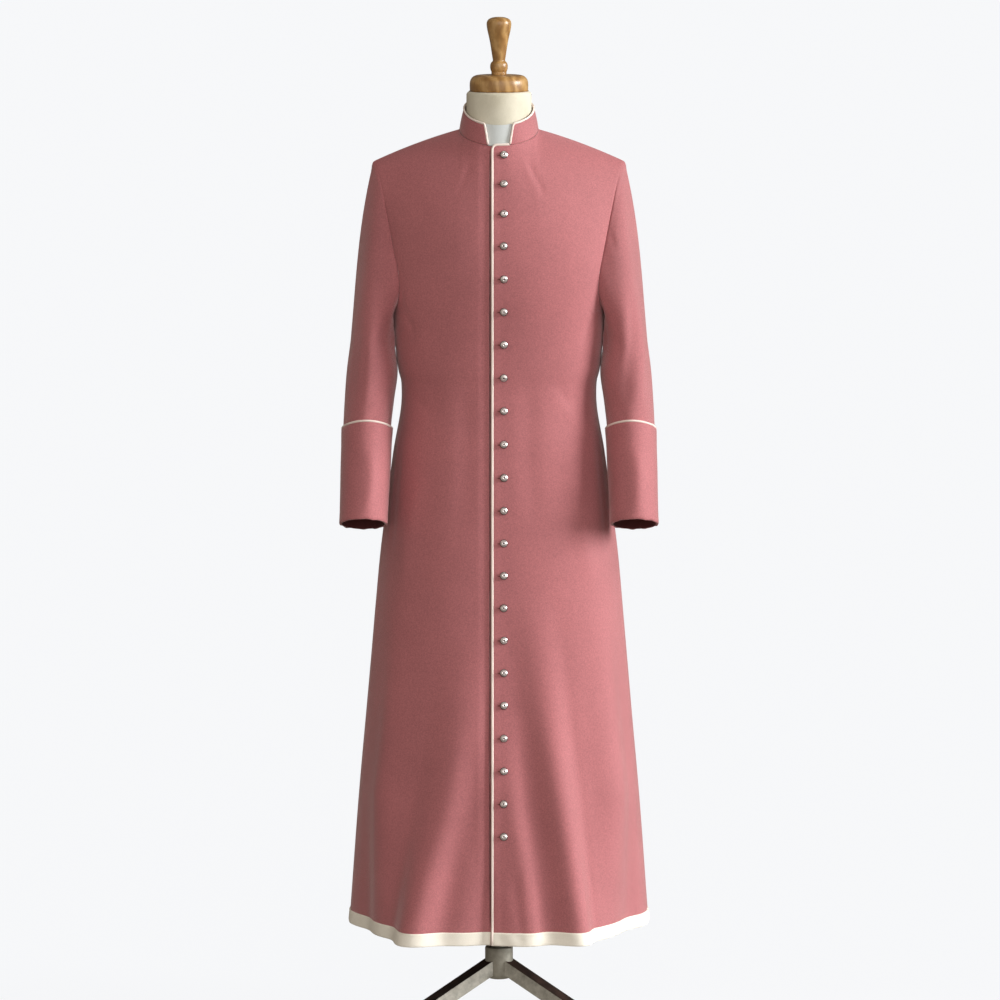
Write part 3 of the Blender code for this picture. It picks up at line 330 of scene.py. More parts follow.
# Shares of a crease's length over which it fades in and out; one over the hem fades in only
BENT_FADE, STRAIGHT_FADE, HEM_FADE = (0.35, 0.3), (0.5, 0.5), 0.45


def crease_relief(u, z, creases, metres_per_unit):
    """Sum of soft ridges and valleys along paths of (u, z), faded out at both ends."""
    total = np.zeros(np.broadcast(u, z).shape)
    for *path, width, depth in creases:
        path = list(zip(path[::2], path[1::2]))
        legs = list(zip(path, path[1:]))
        spans = [math.hypot((b[0] - a[0]) * MEAN_METRES, b[1] - a[1]) for a, b in legs]
        whole, done = sum(spans), 0.0
        nearest = np.full(total.shape, 1e9)
        where = np.zeros(total.shape)
        for (a, b), span in zip(legs, spans):
            du = ((u - a[0] + 180.0) % 360.0 - 180.0) * metres_per_unit
            dz = z - a[1]
            eu, ez = (b[0] - a[0]) * metres_per_unit, b[1] - a[1]
            t = np.clip((du * eu + dz * ez) / (eu * eu + ez * ez), 0.0, 1.0)
            distance = np.hypot(du - t * eu, dz - t * ez)
            closer = distance < nearest
            nearest = np.where(closer, distance, nearest)
            where = np.where(closer, (done + t * span) / whole, where)
            done += span
        start, end = BENT_FADE if len(path) > 2 else STRAIGHT_FADE
        fade = smoothstep(where / start) * smoothstep((1.0 - where) / end)
        if path[-1][1] < HEM_Z + 0.02:
            fade = smoothstep(where / HEM_FADE)
        total += depth / 1000.0 * fade * np.exp(-((nearest / (width / 1000.0)) ** 2))
    return total


# ------------------------------------------------------------------ meshes
def grid_normals(grid, closed, outward):
    across = np.roll(grid, -1, 1) - np.roll(grid, 1, 1) if closed else np.gradient(grid, axis=1)
    normal = unit(np.cross(across, np.gradient(grid, axis=0)))
    flip = np.sum(normal * outward, -1, keepdims=True) < 0.0
    return np.where(flip, -normal, normal)


def lengths(grid, axis, closed=False):
    """Length run along one axis of a grid, for a map in metres."""
    if closed:
        grid = np.concatenate([grid, grid[:, :1]], 1)
    steps = np.linalg.norm(np.diff(grid, axis=axis), axis=-1)
    start = np.zeros_like(np.take(steps, [0], axis))
    return np.cumsum(np.concatenate([start, steps], axis), axis)


def quads(rows, columns, closed=True):
    """Corner numbers of a grid's faces."""
    c = np.arange(columns if closed else columns - 1)
    n = (c + 1) % columns
    r = np.arange(rows - 1)[:, None] * columns
    return np.stack([r + c, r + n, r + columns + n, r + columns + c], -1).reshape(-1, 4)


def mesh_object(name, points, faces, finishes, uv=None, slots=None, sharp=None):
    mesh = bpy.data.meshes.new(name)
    mesh.from_pydata(np.asarray(points).tolist(), [], [[int(i) for i in face] for face in faces])
    for finish in finishes:
        mesh.materials.append(finish)
    if uv is not None:
        mesh.uv_layers.new(name="cloth").data.foreach_set("uv", uv.ravel())
    if slots is not None:
        mesh.polygons.foreach_set("material_index", slots)
    mesh.shade_smooth()
    if sharp:
        mesh.set_sharp_from_angle(angle=math.radians(sharp))
    mesh.update()
    item = bpy.data.objects.new(name, mesh)
    bpy.context.scene.collection.objects.link(item)
    return item


def mesh_piece(name, points, faces, finishes, slot, replaces=(), **more):
    item = mesh_object(name, points, faces, finishes, **more)
    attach(item, ROOT)
    if replaces:
        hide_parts(*replaces)
    return item


def shell(name, outer, inner, outward, finishes, slot, node, closed=False):
    """Thin cloth between two grids, with a map in metres for its weave."""
    rows, columns = outer.shape[:2]
    count = rows * columns
    corners = quads(rows, columns, closed)
    flat = quads(rows, columns + 1, False) if closed else corners
    a, b, _, d = (outer.reshape(-1, 3)[corners[:, k]] for k in range(4))
    facing = np.sum(np.cross(b - a, d - a) * outward.reshape(-1, 3)[corners[:, 0]])
    u, v = lengths(outer, 1, closed), lengths(outer, 0)
    if closed:
        v = np.concatenate([v, v[:, :1]], 1)
    uv = np.stack([u, v], -1).reshape(-1, 2)
    c = np.arange(columns if closed else columns - 1)
    n = (c + 1) % columns
    rims = [(start + c, start + n, start + n + count, start + c + count)
            for start in (0, count - columns)]
    rims[0] = rims[0][::-1]
    if not closed:
        left = np.arange(rows - 1) * columns
        right = left + columns - 1
        rims.append((left, left + columns, left + columns + count, left + count))
        rims.append((right + count, right + columns + count, right + columns, right))
    edge = np.concatenate([np.stack(k, -1) for k in rims])[:, ::-1]
    faces = np.concatenate([corners, corners[:, ::-1] + count, edge])
    maps = np.concatenate([uv[flat], uv[flat[:, ::-1]], uv[np.minimum(edge % count, len(uv) - 1)]])
    if facing < 0.0:
        faces, maps = faces[:, ::-1], maps[:, ::-1]
    slots = None
    # The inner faces take the second finish: painted shade, a much darker rose, for the inside of
    # the cloth.
    if len(finishes) > 1:
        slots = np.repeat([0, 1, 0], [len(corners), len(corners), len(edge)])
    points = np.concatenate([outer.reshape(-1, 3), inner.reshape(-1, 3)])
    return mesh_piece(name, points, faces, finishes, slot, [node], uv=maps, slots=slots,
                      sharp=CLOTH_SHARP)


def wool_shell(name, outer, inner, outward, node, closed=False):
    return shell(name, outer, inner, outward, [WOOL, INSIDE_PAINTED_SHADE], "wool_rose", node, closed)


def hose(path, aside, up, radius, sides):
    """Rings of points round a path."""
    turn = np.linspace(0.0, 2.0 * math.pi, sides, endpoint=False)[None, :, None]
    return path[:, None] + radius * (np.cos(turn) * aside[:, None] + np.sin(turn) * up[:, None])


def cord(name, path, out, radius, node, closed=False, flat=1.0):
    """Cord along a path; flat squeezes it along the outward directions."""
    step = np.roll(path, -1, 0) - np.roll(path, 1, 0) if closed else np.gradient(path, axis=0)
    along = unit(step)
    up = unit(out - along * np.sum(out * along, -1, keepdims=True))
    ring = hose(path, np.cross(along, up), flat * up, radius, CORD_SIDES)
    if closed:
        ring = np.concatenate([ring, ring[:1]])
    faces = quads(len(ring), CORD_SIDES)[:, ::-1].tolist()
    points = ring.reshape(-1, 3)
    if not closed:
        faces += [range(CORD_SIDES), range(len(points) - 1, len(points) - CORD_SIDES - 1, -1)]
    return mesh_piece(name, points, faces, [CORD], "trim_cream", [node])


def lathe_points(profile, steps):
    """Points and faces of a solid turned about Z; the profile runs from the top down."""
    profile = np.array(profile, float)
    turn = np.linspace(0.0, 2.0 * math.pi, steps, endpoint=False)
    grid = vec(profile[:, :1] * np.cos(turn), profile[:, :1] * np.sin(turn), profile[:, 1:])
    return grid.reshape(-1, 3), quads(len(profile), steps)[:, ::-1].tolist()


def smoothed(profile, count):
    """Curve through the rows of a profile."""
    keys = np.arange(len(profile), dtype=float)
    table = Table("at r z", *np.column_stack([keys, profile]))
    at = np.linspace(0.0, keys[-1], count)
    return np.stack([np.maximum(table.at(at, "r"), 0.0), table.at(at, "z")], -1)


def turned(name, profile, finish, slot, node, steps, sharp=35):
    points, faces = lathe_points(profile, steps)
    mesh_piece(name, points, faces, [finish], slot, [node], sharp=sharp)


# ------------------------------------------------------------------ materials
def srgb(*values):
    return tuple(((v / 255.0 + 0.055) / 1.055) ** 2.4 if v > 10 else v / 255.0 / 12.92
                 for v in values) + (1.0,)


class Finish:
    """A node-based material under construction."""

    def __init__(self, name, tone, roughness, **sockets):
        self.material = bpy.data.materials.new(name)
        self.material.use_nodes = True
        self.nodes, self.links = self.material.node_tree.nodes, self.material.node_tree.links
        self.shader = self.nodes["Principled BSDF"]
        self.tone, self.here, self.normal = tone, None, None
        for socket, value in {"Roughness": roughness, **sockets}.items():
            self.feed(self.shader.inputs[socket.replace("_", " ")], value)

    def feed(self, socket, value):
        if isinstance(value, bpy.types.NodeSocket):
            self.links.new(value, socket)
        else:
            socket.default_value = value

    def add(self, kind, inputs=(), **settings):
        node = self.nodes.new("ShaderNode" + kind)
        for key, value in settings.items():
            setattr(node, key, value)
        for key, value in dict(inputs).items():
            self.feed(node.inputs[key], value)
        return node

    def coordinates(self, kind="Object", scale=(1, 1, 1), turn=(0, 0, 0)):
        source = self.add("TexCoord").outputs[kind]
        return self.add("Mapping", {"Vector": source, "Scale": scale, "Rotation": turn}).outputs[0]

    def noise(self, scale, detail=3.0, rough=0.5, where=None):
        if where is None:
            self.here = where = self.here or self.coordinates()
        return self.add("TexNoise", {"Vector": where, "Scale": scale, "Detail": detail,
                                     "Roughness": rough}).outputs["Fac"]

    def waves(self, where, scale, distortion, detail, detail_scale):
        return self.add("TexWave", {"Vector": where, "Scale": scale, "Distortion": distortion,
                                    "Detail": detail, "Detail Scale": detail_scale},
                        wave_type="BANDS", bands_direction="X").outputs["Fac"]

    def ramp(self, value, *stops):
        node = self.add("ValToRGB", {"Fac": value})
        ramp = node.color_ramp
        while len(ramp.elements) < len(stops):
            ramp.elements.new(0.5)
        for element, (position, colour) in zip(ramp.elements, stops):
            element.position = position
            element.color = colour
        return node.outputs["Color"]

    def math(self, kind, a, b):
        return self.add("Math", {0: a, 1: b}, operation=kind).outputs[0]

    def blend(self, kind, factor, other):
        self.tone = self.add("Mix", {0: factor, 6: self.tone, 7: other}, data_type="RGBA",
                             blend_type=kind).outputs[2]

    def shade(self, factor, value, low, high, dark=(0.8,) * 3, light=(1.16,) * 3):
        """Darken and lighten the tone where the value is low and high."""
        self.blend("MULTIPLY", factor, self.ramp(value, (low, (*dark, 1)), (high, (*light, 1))))

    def bump(self, height, strength, distance):
        node = self.add("Bump", {"Height": height, "Strength": strength, "Distance": distance})
        if self.normal:
            self.links.new(self.normal, node.inputs["Normal"])
        self.normal = node.outputs[0]

    def done(self):
        self.feed(self.shader.inputs["Base Color"], self.tone)
        if self.normal:
            self.links.new(self.normal, self.shader.inputs["Normal"])
        return self.material


def wool(name, colour):
    """Wool twill: fine diagonal wales, heathered fibres and a soft nap."""
    finish = Finish(name, colour, 0.66, Sheen_Weight=0.55, Sheen_Roughness=0.4,
                    Sheen_Tint=(1.0, 0.86, 0.86, 1.0), Specular_IOR_Level=0.35)
    finish.shade(1.0, finish.noise(430.0, 4.0, 0.8), 0.36, 0.64)
    finish.shade(0.9, finish.noise(9.0, 3.0, 0.55), 0.3, 0.72, (0.93, 0.92, 0.92),
                 (1.06, 1.05, 1.05))
    weave = finish.coordinates("UV", turn=(0.0, 0.0, math.radians(38.0)))
    wale = finish.waves(weave, 230.0, 0.6, 1.0, 2.0)
    finish.shade(0.35, wale, 0.0, 1.0)
    finish.bump(finish.noise(420.0, 4.0, 0.7), 0.35, 0.0006)
    finish.bump(wale, 0.45, 0.0003)
    return finish.done()


def cotton(name, colour, scale=1400.0, strength=0.35):
    """Plain woven cloth for trim and thread; it also carries the painted shade of the wool's
    insides and of the buttonhole slits.
    """
    finish = Finish(name, colour, 0.78, Sheen_Weight=0.12, Specular_IOR_Level=0.25)
    finish.shade(0.8, finish.noise(26.0), 0.3, 0.72, (0.93, 0.92, 0.9), (1.03, 1.03, 1.03))
    grain = finish.noise(scale, 2.0, 0.6)
    finish.shade(0.35, grain, 0.3, 0.7)
    finish.bump(grain, strength, 0.0004)
    return finish.done()


def wood(name):
    """Turned, varnished beech with long grain."""
    finish = Finish(name, None, 0.42, Coat_Weight=0.45, Coat_Roughness=0.26,
                    Specular_IOR_Level=0.45)
    rings = finish.waves(finish.coordinates(scale=(1, 1, 0.8), turn=(0.9, 0.35, 0)),
                         16.0, 9.0, 3.0, 1.4)
    finish.tone = finish.ramp(rings, (0.0, srgb(150, 110, 60)), (0.55, srgb(170, 129, 74)),
                              (1.0, srgb(188, 149, 94)))
    grain = finish.noise(260.0, 5.0, 0.65, finish.coordinates(scale=(1.0, 1.0, 0.35)))
    finish.shade(0.55, grain, 0.36, 0.62, (0.7, 0.66, 0.6), (1.08, 1.06, 1.02))
    finish.bump(grain, 0.12, 0.0004)
    return finish.done()


def linen(name):
    """Tight linen cover of the form."""
    finish = Finish(name, None, 0.8, Sheen_Weight=0.1, Specular_IOR_Level=0.2)
    finish.tone = finish.ramp(finish.noise(22.0, 4.0), (0.28, srgb(203, 197, 176)),
                              (0.74, srgb(222, 217, 199)))
    thread = finish.noise(520.0, 2.0, 0.6, finish.coordinates(scale=(1, 1, 5)))
    across = finish.noise(300.0, 2.0, 0.6, finish.coordinates(scale=(5, 5, 1)))
    cloth = finish.math("ADD", thread, across)
    finish.shade(0.3, finish.math("MULTIPLY", cloth, 0.5), 0.36, 0.64)
    finish.bump(cloth, 0.3, 0.0004)
    return finish.done()


def metal(name, roughness, metallic, noise, low, high, *bump):
    """Speckled metal; the bump is its noise's scale and detail, strength and distance."""
    finish = Finish(name, None, roughness, Metallic=metallic)
    finish.tone = finish.ramp(finish.noise(*noise), low, high)
    if bump:
        finish.bump(finish.noise(*bump[:2]), *bump[2:])
    return finish


def cast_metal(name):
    """Satin cast metal with a fine grain and rubbed patches."""
    roughness = 0.55
    finish = metal(name, roughness, 0.2, (60.0, 5.0, 0.65), (0.3, srgb(150, 146, 134)),
                   (0.7, srgb(180, 176, 162)), 900.0, 3.0, 0.25, 0.0004)
    worn = finish.ramp(finish.noise(90.0), (0.35, (0.75, 0.75, 0.75, 1)),
                       (0.65, (1.25, 1.25, 1.25, 1)))
    finish.feed(finish.shader.inputs["Roughness"], finish.math("MULTIPLY", worn, roughness))
    return finish.done()


def leg_metal_and_painted_top_shade(name):
    """Upper faces darkened as painted shade from the skirt above, and rubbed grey sides."""
    finish = metal(name, 0.48, 0.3, (70.0, 5.0, 0.7), (0.3, srgb(150, 147, 137)),
                   (0.72, srgb(204, 201, 190)), 800.0, 3.0, 0.18, 0.0004)
    # Painted shade: faces turned upwards take the dark brown, by the height of their normal.
    normal = finish.add("NewGeometry").outputs["Normal"]
    up = finish.add("SeparateXYZ", {"Vector": normal}).outputs["Z"]
    top = finish.add("MapRange", {"Value": up, "From Min": 0.35, "From Max": 0.6}).outputs[0]
    dark = finish.ramp(finish.noise(50.0, 4.0), (0.3, srgb(30, 20, 17)),
                       (0.75, srgb(74, 54, 46)))
    finish.blend("MIX", top, dark)
    return finish.done()


WOOL = wool("wool_twill", (0.448, 0.15, 0.161, 1.0))
# Painted shade: the insides of the wool shells take this dark rose in place of the shade inside
# them.
INSIDE_PAINTED_SHADE = cotton("wool_inside_painted_shade", (0.1, 0.02, 0.02, 1.0), 700.0, 0.2)
CREAM = cotton("cream_trim", srgb(248, 243, 231))
CORD = cotton("cream_cord", srgb(240, 226, 218), 2200.0, 0.25)
WHITE = cotton("tab_cloth", srgb(206, 212, 212), 1800.0, 0.15)
THREAD = cotton("rose_thread", (0.27, 0.085, 0.08, 1.0), 2600.0, 0.3)
# Painted shade: a dark flat sheet laid over each buttonhole's slit, in place of the shade inside
# it.
SLIT = cotton("buttonhole_shade", (0.09, 0.022, 0.022, 1.0), 900.0, 0.1)
CREAM_THREAD = cotton("cream_thread", srgb(240, 234, 220), 2600.0, 0.3)
SILVER = metal("button_metal", 0.3, 0.8, (260.0,), (0.25, srgb(206, 196, 192)),
               (0.75, srgb(246, 240, 238)), 1500.0, 2.0, 0.1, 0.0002).done()
# Painted shade and dark reflection: the centre dimple and the outer rim of each button take this
# dark metal.
BUTTON_PAINTED_SHADE = metal("button_painted_shade", 0.55, 0.8, (500.0,), (0.3, srgb(58, 46, 44)),
                (0.7, srgb(104, 88, 86))).done()
WOOD, LINEN = wood("turned_wood"), linen("form_cover")
METAL, LEG = cast_metal("stand_casting"), leg_metal_and_painted_top_shade("leg_metal_and_painted_top_shade")


# ------------------------------------------------------------------ panels
LOW_ROWS, HIGH_ROWS = 190, 72
STATIONS = np.concatenate([np.linspace(HEM_Z - ARMPIT_Z, 0.0, LOW_ROWS),
                           np.linspace(0.0, 1.0, HIGH_ROWS)[1:]])
ARMPIT_ROW = LOW_ROWS - 1
LAP_COLUMNS, UNDERLAP_COLUMNS, CENTRE_COLUMNS, SIDE_COLUMNS, BACK_COLUMNS = 20, 60, 20, 44, 30
CORNER_RADIUS = 0.007   # of the left front's upper corner
BEND_SPAN, BEND_PASSES = 9, 40
DITCH_X, DITCH_DEPTH = (-0.017, -0.012), 0.0064   # of the line beside the front piping
GAPE_X, GAPE_HALF_WIDTH, GAPE_DEPTH = -0.0162, 0.006, 0.0034   # where the skirt falls open
LAP_PROUD = 0.0007
SEAM_GROOVE = 0.0009
BAND_EDGE_X = -0.0134    # the right front's band ends here, under the left one's
BAND_ROWS, PUCKER, LOOSE_PUCKER, PUCKER_PITCH = 26, 0.00016, 0.00028, 0.034


SEAM_SHARES = (1.0, 0.25)                  # of the seam's groove, on the edge and next to it
CALM_COLUMNS, CALM_STATIONS = 6.0, 0.06    # without creases, at the armhole and the shoulder
GAPE_TOP, GAPE_BOTTOM = 0.66, 0.2
DITCH_EASE, DITCH_FOOT, DITCH_HEAD = (0.0016, 0.004), 0.03, 0.08
PROUD_X, PROUD_EASE, CORNER_REACH = 0.004, 0.012, 4.0
BAND_ROUNDING, BAND_CROWN, BAND_LIFT = 0.1, 0.75, 0.0004
PUCKER_SLANT, PUCKER_DRIFT, PUCKER_WAVE = 0.9, 3.0, 9.0


class Panel:
    """Fine grid of one front or back panel, from its centre edge to its outer edge."""

    def __init__(self, side, front):
        self.side, self.front = side, front
        rows = STATIONS
        split = np.where(rows >= 0.0, mix(BREAK_ARMPIT, NECK_ANGLE, rows),
                         mix(BREAK_ARMPIT, BREAK_HEM, rows / (HEM_Z - ARMPIT_Z)))
        inset = ARMHOLE.at(rows, "inset") * (1.0 if front else BACK_ARMHOLE_SHARE)
        reach = surface(CLOTH, np.full_like(rows, 90.0), rows)[:, 0] - inset
        end = angle_at_x(reach, rows, 10.0, 90.0, not front)
        end = np.where((rows > 0.0) & (rows < 1.0), end, 90.0)
        if front:
            edge = angle_at_x(LAP_EDGE, rows) if side > 0 else -angle_at_x(LAP_END, rows)
            ease = angle_at_x(CLOSURE_X, rows) if side > 0 else -angle_at_x(-CLOSURE_X, rows)
            lap = (np.linspace(0, 1, LAP_COLUMNS) ** 1.5 if side > 0
                   else np.linspace(0, 1, UNDERLAP_COLUMNS))
            blocks = [(edge, ease, lap),
                      (ease, split, np.linspace(0, 1, CENTRE_COLUMNS)[1:])]
        else:
            blocks = [(0.0 * rows, split, 1.0 - seamed(BACK_COLUMNS, 0.025)[::-1])]
        blocks.append((split, end, seamed(SIDE_COLUMNS, 0.014)[1:]))
        angles = np.concatenate([mix(a[:, None], b[:, None], t[None]) for a, b, t in blocks], 1)
        self.angles = side * (angles if front else 180.0 - angles)
        self.outer = surface(CLOTH, self.angles, rows[:, None] + 0.0 * angles)
        self.soften(len(lap) + CENTRE_COLUMNS - 2 if front else BACK_COLUMNS - 1)
        outward = self.outer - vec(0.0, 0.0, np.minimum(self.outer[..., 2], ARMPIT_Z))
        self.normals = grid_normals(self.outer, False, outward)
        self.shape()
        self.normals = grid_normals(self.outer, False, outward)
        self.outward = outward

    def soften(self, bend):
        """Ease the bend that runs down from the neck point, over BEND_SPAN columns each way."""
        weight = 0.5 * smoothstep(STATIONS / 0.2) * smoothstep((1.0 - STATIONS) / 0.12)
        weight = weight[:, None, None]
        low, high = bend - BEND_SPAN, bend + BEND_SPAN + 1
        for _ in range(BEND_PASSES):
            middle = self.outer[:, low:high]
            mean = 0.5 * (self.outer[:, low - 1:high - 1] + self.outer[:, low + 1:high + 1])
            self.outer[:, low:high] = middle + weight * (mean - middle)

    def shape(self):
        """Creases, the lap and the seams' grooves."""
        x, z = self.outer[..., 0], self.outer[..., 2]
        relief = crease_relief(self.angles, z, BODY_CREASES, METRES_PER_DEGREE.at(z, "metres"))
        columns = self.outer.shape[1]
        edge = np.zeros(columns)
        edge[-1], edge[-2] = SEAM_SHARES
        if not self.front:
            edge[:2] = SEAM_SHARES
        # creases die out at the armhole and shoulder, so that the seam's two sides agree
        calm = np.ones_like(x)
        high = np.arange(len(STATIONS)) > ARMPIT_ROW
        reach = np.minimum((columns - 1 - np.arange(columns)) / CALM_COLUMNS, 1.0)
        calm[high] *= smoothstep(reach)[None]
        calm *= smoothstep((1.0 - STATIONS) / CALM_STATIONS)[:, None]
        relief *= calm
        relief -= SEAM_GROOVE * edge[None]
        if self.front and self.side < 0:
            out = (-x - LAP_EASE[0]) / (LAP_EASE[1] - LAP_EASE[0])
            relief -= LAP_DEPTH * (1.0 - smoothstep(out))
            gape = np.exp(-((x - GAPE_X) / GAPE_HALF_WIDTH) ** 2)
            gape *= smoothstep((GAPE_TOP - z) / 0.2) * smoothstep((z - GAPE_BOTTOM) / 0.1)
            ditch = smoothstep((x - DITCH_X[0]) / DITCH_EASE[0])
            ditch *= 1.0 - smoothstep((x - DITCH_X[1]) / DITCH_EASE[1])
            ditch *= smoothstep((z - HEM_Z - BAND_HEIGHT) / DITCH_FOOT)
            ditch *= smoothstep((1.0 - STATIONS) / DITCH_HEAD)[:, None]
            relief -= GAPE_DEPTH * gape + DITCH_DEPTH * ditch
        if self.front and self.side > 0:
            relief += LAP_PROUD * smoothstep((PROUD_X - x) / PROUD_EASE)
        self.outer = self.outer + self.normals * relief[..., None]
        if self.front and self.side > 0:
            self.round_corner()

    def round_corner(self):
        """Draw the rows in under a round upper corner."""
        across = np.clip(self.outer[-1, :, 0] - self.outer[-1, 0, 0], 0.0, CORNER_RADIUS)
        drop = CORNER_RADIUS - np.sqrt(CORNER_RADIUS**2 - (CORNER_RADIUS - across) ** 2)
        down = unit(self.outer[-3] - self.outer[-1])
        depth = np.linalg.norm(self.outer - self.outer[-1], axis=-1)
        reach = CORNER_REACH * CORNER_RADIUS
        pull = np.where(depth < reach, drop[None] * (1.0 - depth / reach), 0.0)
        self.outer = self.outer + down[None] * pull[..., None]

    def build(self, name, node):
        inner = self.outer - self.normals * WALL
        return wool_shell(name, self.outer, inner, self.outward, node)

    def at(self, x, z):
        """Point and normal on the panel where it has this x and z."""
        rows = np.abs(self.outer[:, 2, 2] - z).argsort()[:6]
        found = []
        for row in sorted(rows):
            line = np.concatenate([self.outer[row], self.normals[row]], -1)
            line = line[np.argsort(line[:, 0])]
            found.append(interpolate(x, line[:, 0], line))
        found = np.array(found)
        values = interpolate(z, found[:, 2], found)
        return np.array([x, values[1], z]), unit(values[3:])


def band(name, node, panel):
    """Bias band on the outside of the hem, slightly puckered, and the line of its stitches."""
    z = mix(HEM_Z, HEM_Z + BAND_HEIGHT, np.linspace(0.0, 1.0, BAND_ROWS))
    columns = slice(None)
    if panel.front and panel.side < 0:
        columns = panel.outer[0, :, 0] < BAND_EDGE_X
    low = panel.outer[:8, columns]
    heights = panel.outer[:8, columns, 2].mean(1)

    def resample(grid):
        return np.stack([[interpolate(at, heights, column) for at in z]
                         for column in np.swapaxes(grid, 0, 1)], 1)

    base, normal = resample(low), unit(resample(panel.normals[:8, columns]))
    share = np.linspace(0.0, 1.0, BAND_ROWS)[:, None]
    crown = np.minimum(1.0, np.minimum(share, 1.0 - share) / BAND_ROUNDING) ** 0.5
    run = lengths(base, 1)
    pucker = np.sin((run + PUCKER_SLANT * share * BAND_HEIGHT) * 2 * math.pi / PUCKER_PITCH
                    + PUCKER_DRIFT * np.sin(run * PUCKER_WAVE))
    strength = LOOSE_PUCKER if panel.front and panel.side > 0 else PUCKER
    lift = SEAM + BAND_LIFT + BAND_WALL * BAND_CROWN * crown + strength * pucker * crown
    outer = base + normal * lift[..., None]
    inner = base + normal * (0.5 * SEAM)
    outer[..., 2] = inner[..., 2] = z[:, None]
    piece = shell(name, outer, inner, panel.outward[:1, columns].repeat(BAND_ROWS, 0), [CREAM],
                  "trim_cream", node)
    return piece, outer[-4] + normal[-4] * 0.0001, normal[-4]


# ------------------------------------------------------------------ sleeves
def ring_points(side, z, angle):
    """Sleeve rings at heights z (rows), at angles round them (columns)."""
    x, y, half_width, half_depth, pitch = (
        SLEEVE.at(z, n)[:, None] for n in ("x", "y", "half_width", "half_depth", "pitch"))
    c, s = cosine(angle)[None], sine(angle)[None]
    return vec(side * (x + half_width * c), y - cosine(pitch) * half_depth * s,
               z[:, None] + sine(pitch) * half_depth * s)


CAP_ROWS, ARM_ROWS, CUFF_ROWS, CUFF_COLUMNS = 52, 60, 40, 120
HEAD_RIDGE, HEAD_REACH = 0.001, 0.006      # of the seam allowance pressed into the sleeve head
HEAD_OVER, HEAD_FADE, HEAD_GROOVE = 1.1, 150.0, 0.4
CAP_FIRST, CAP_CALM, CUFF_CALM = 0.008, 0.03, 0.02
CUFF_WALL, CUFF_CREASE_SCALE = 0.0014, 0.0008
CUFF_ROUNDING, CUFF_LIFT, CUFF_END_SHARE, RUFFLE_REACH = 0.0012, 0.0008, 0.55, 0.04
CUFF_RUFFLE, CUFF_SAG, CUFF_TOP_FLARE, CUFF_END_FLARE = 0.0006, 0.004, 0.0009, 0.0005


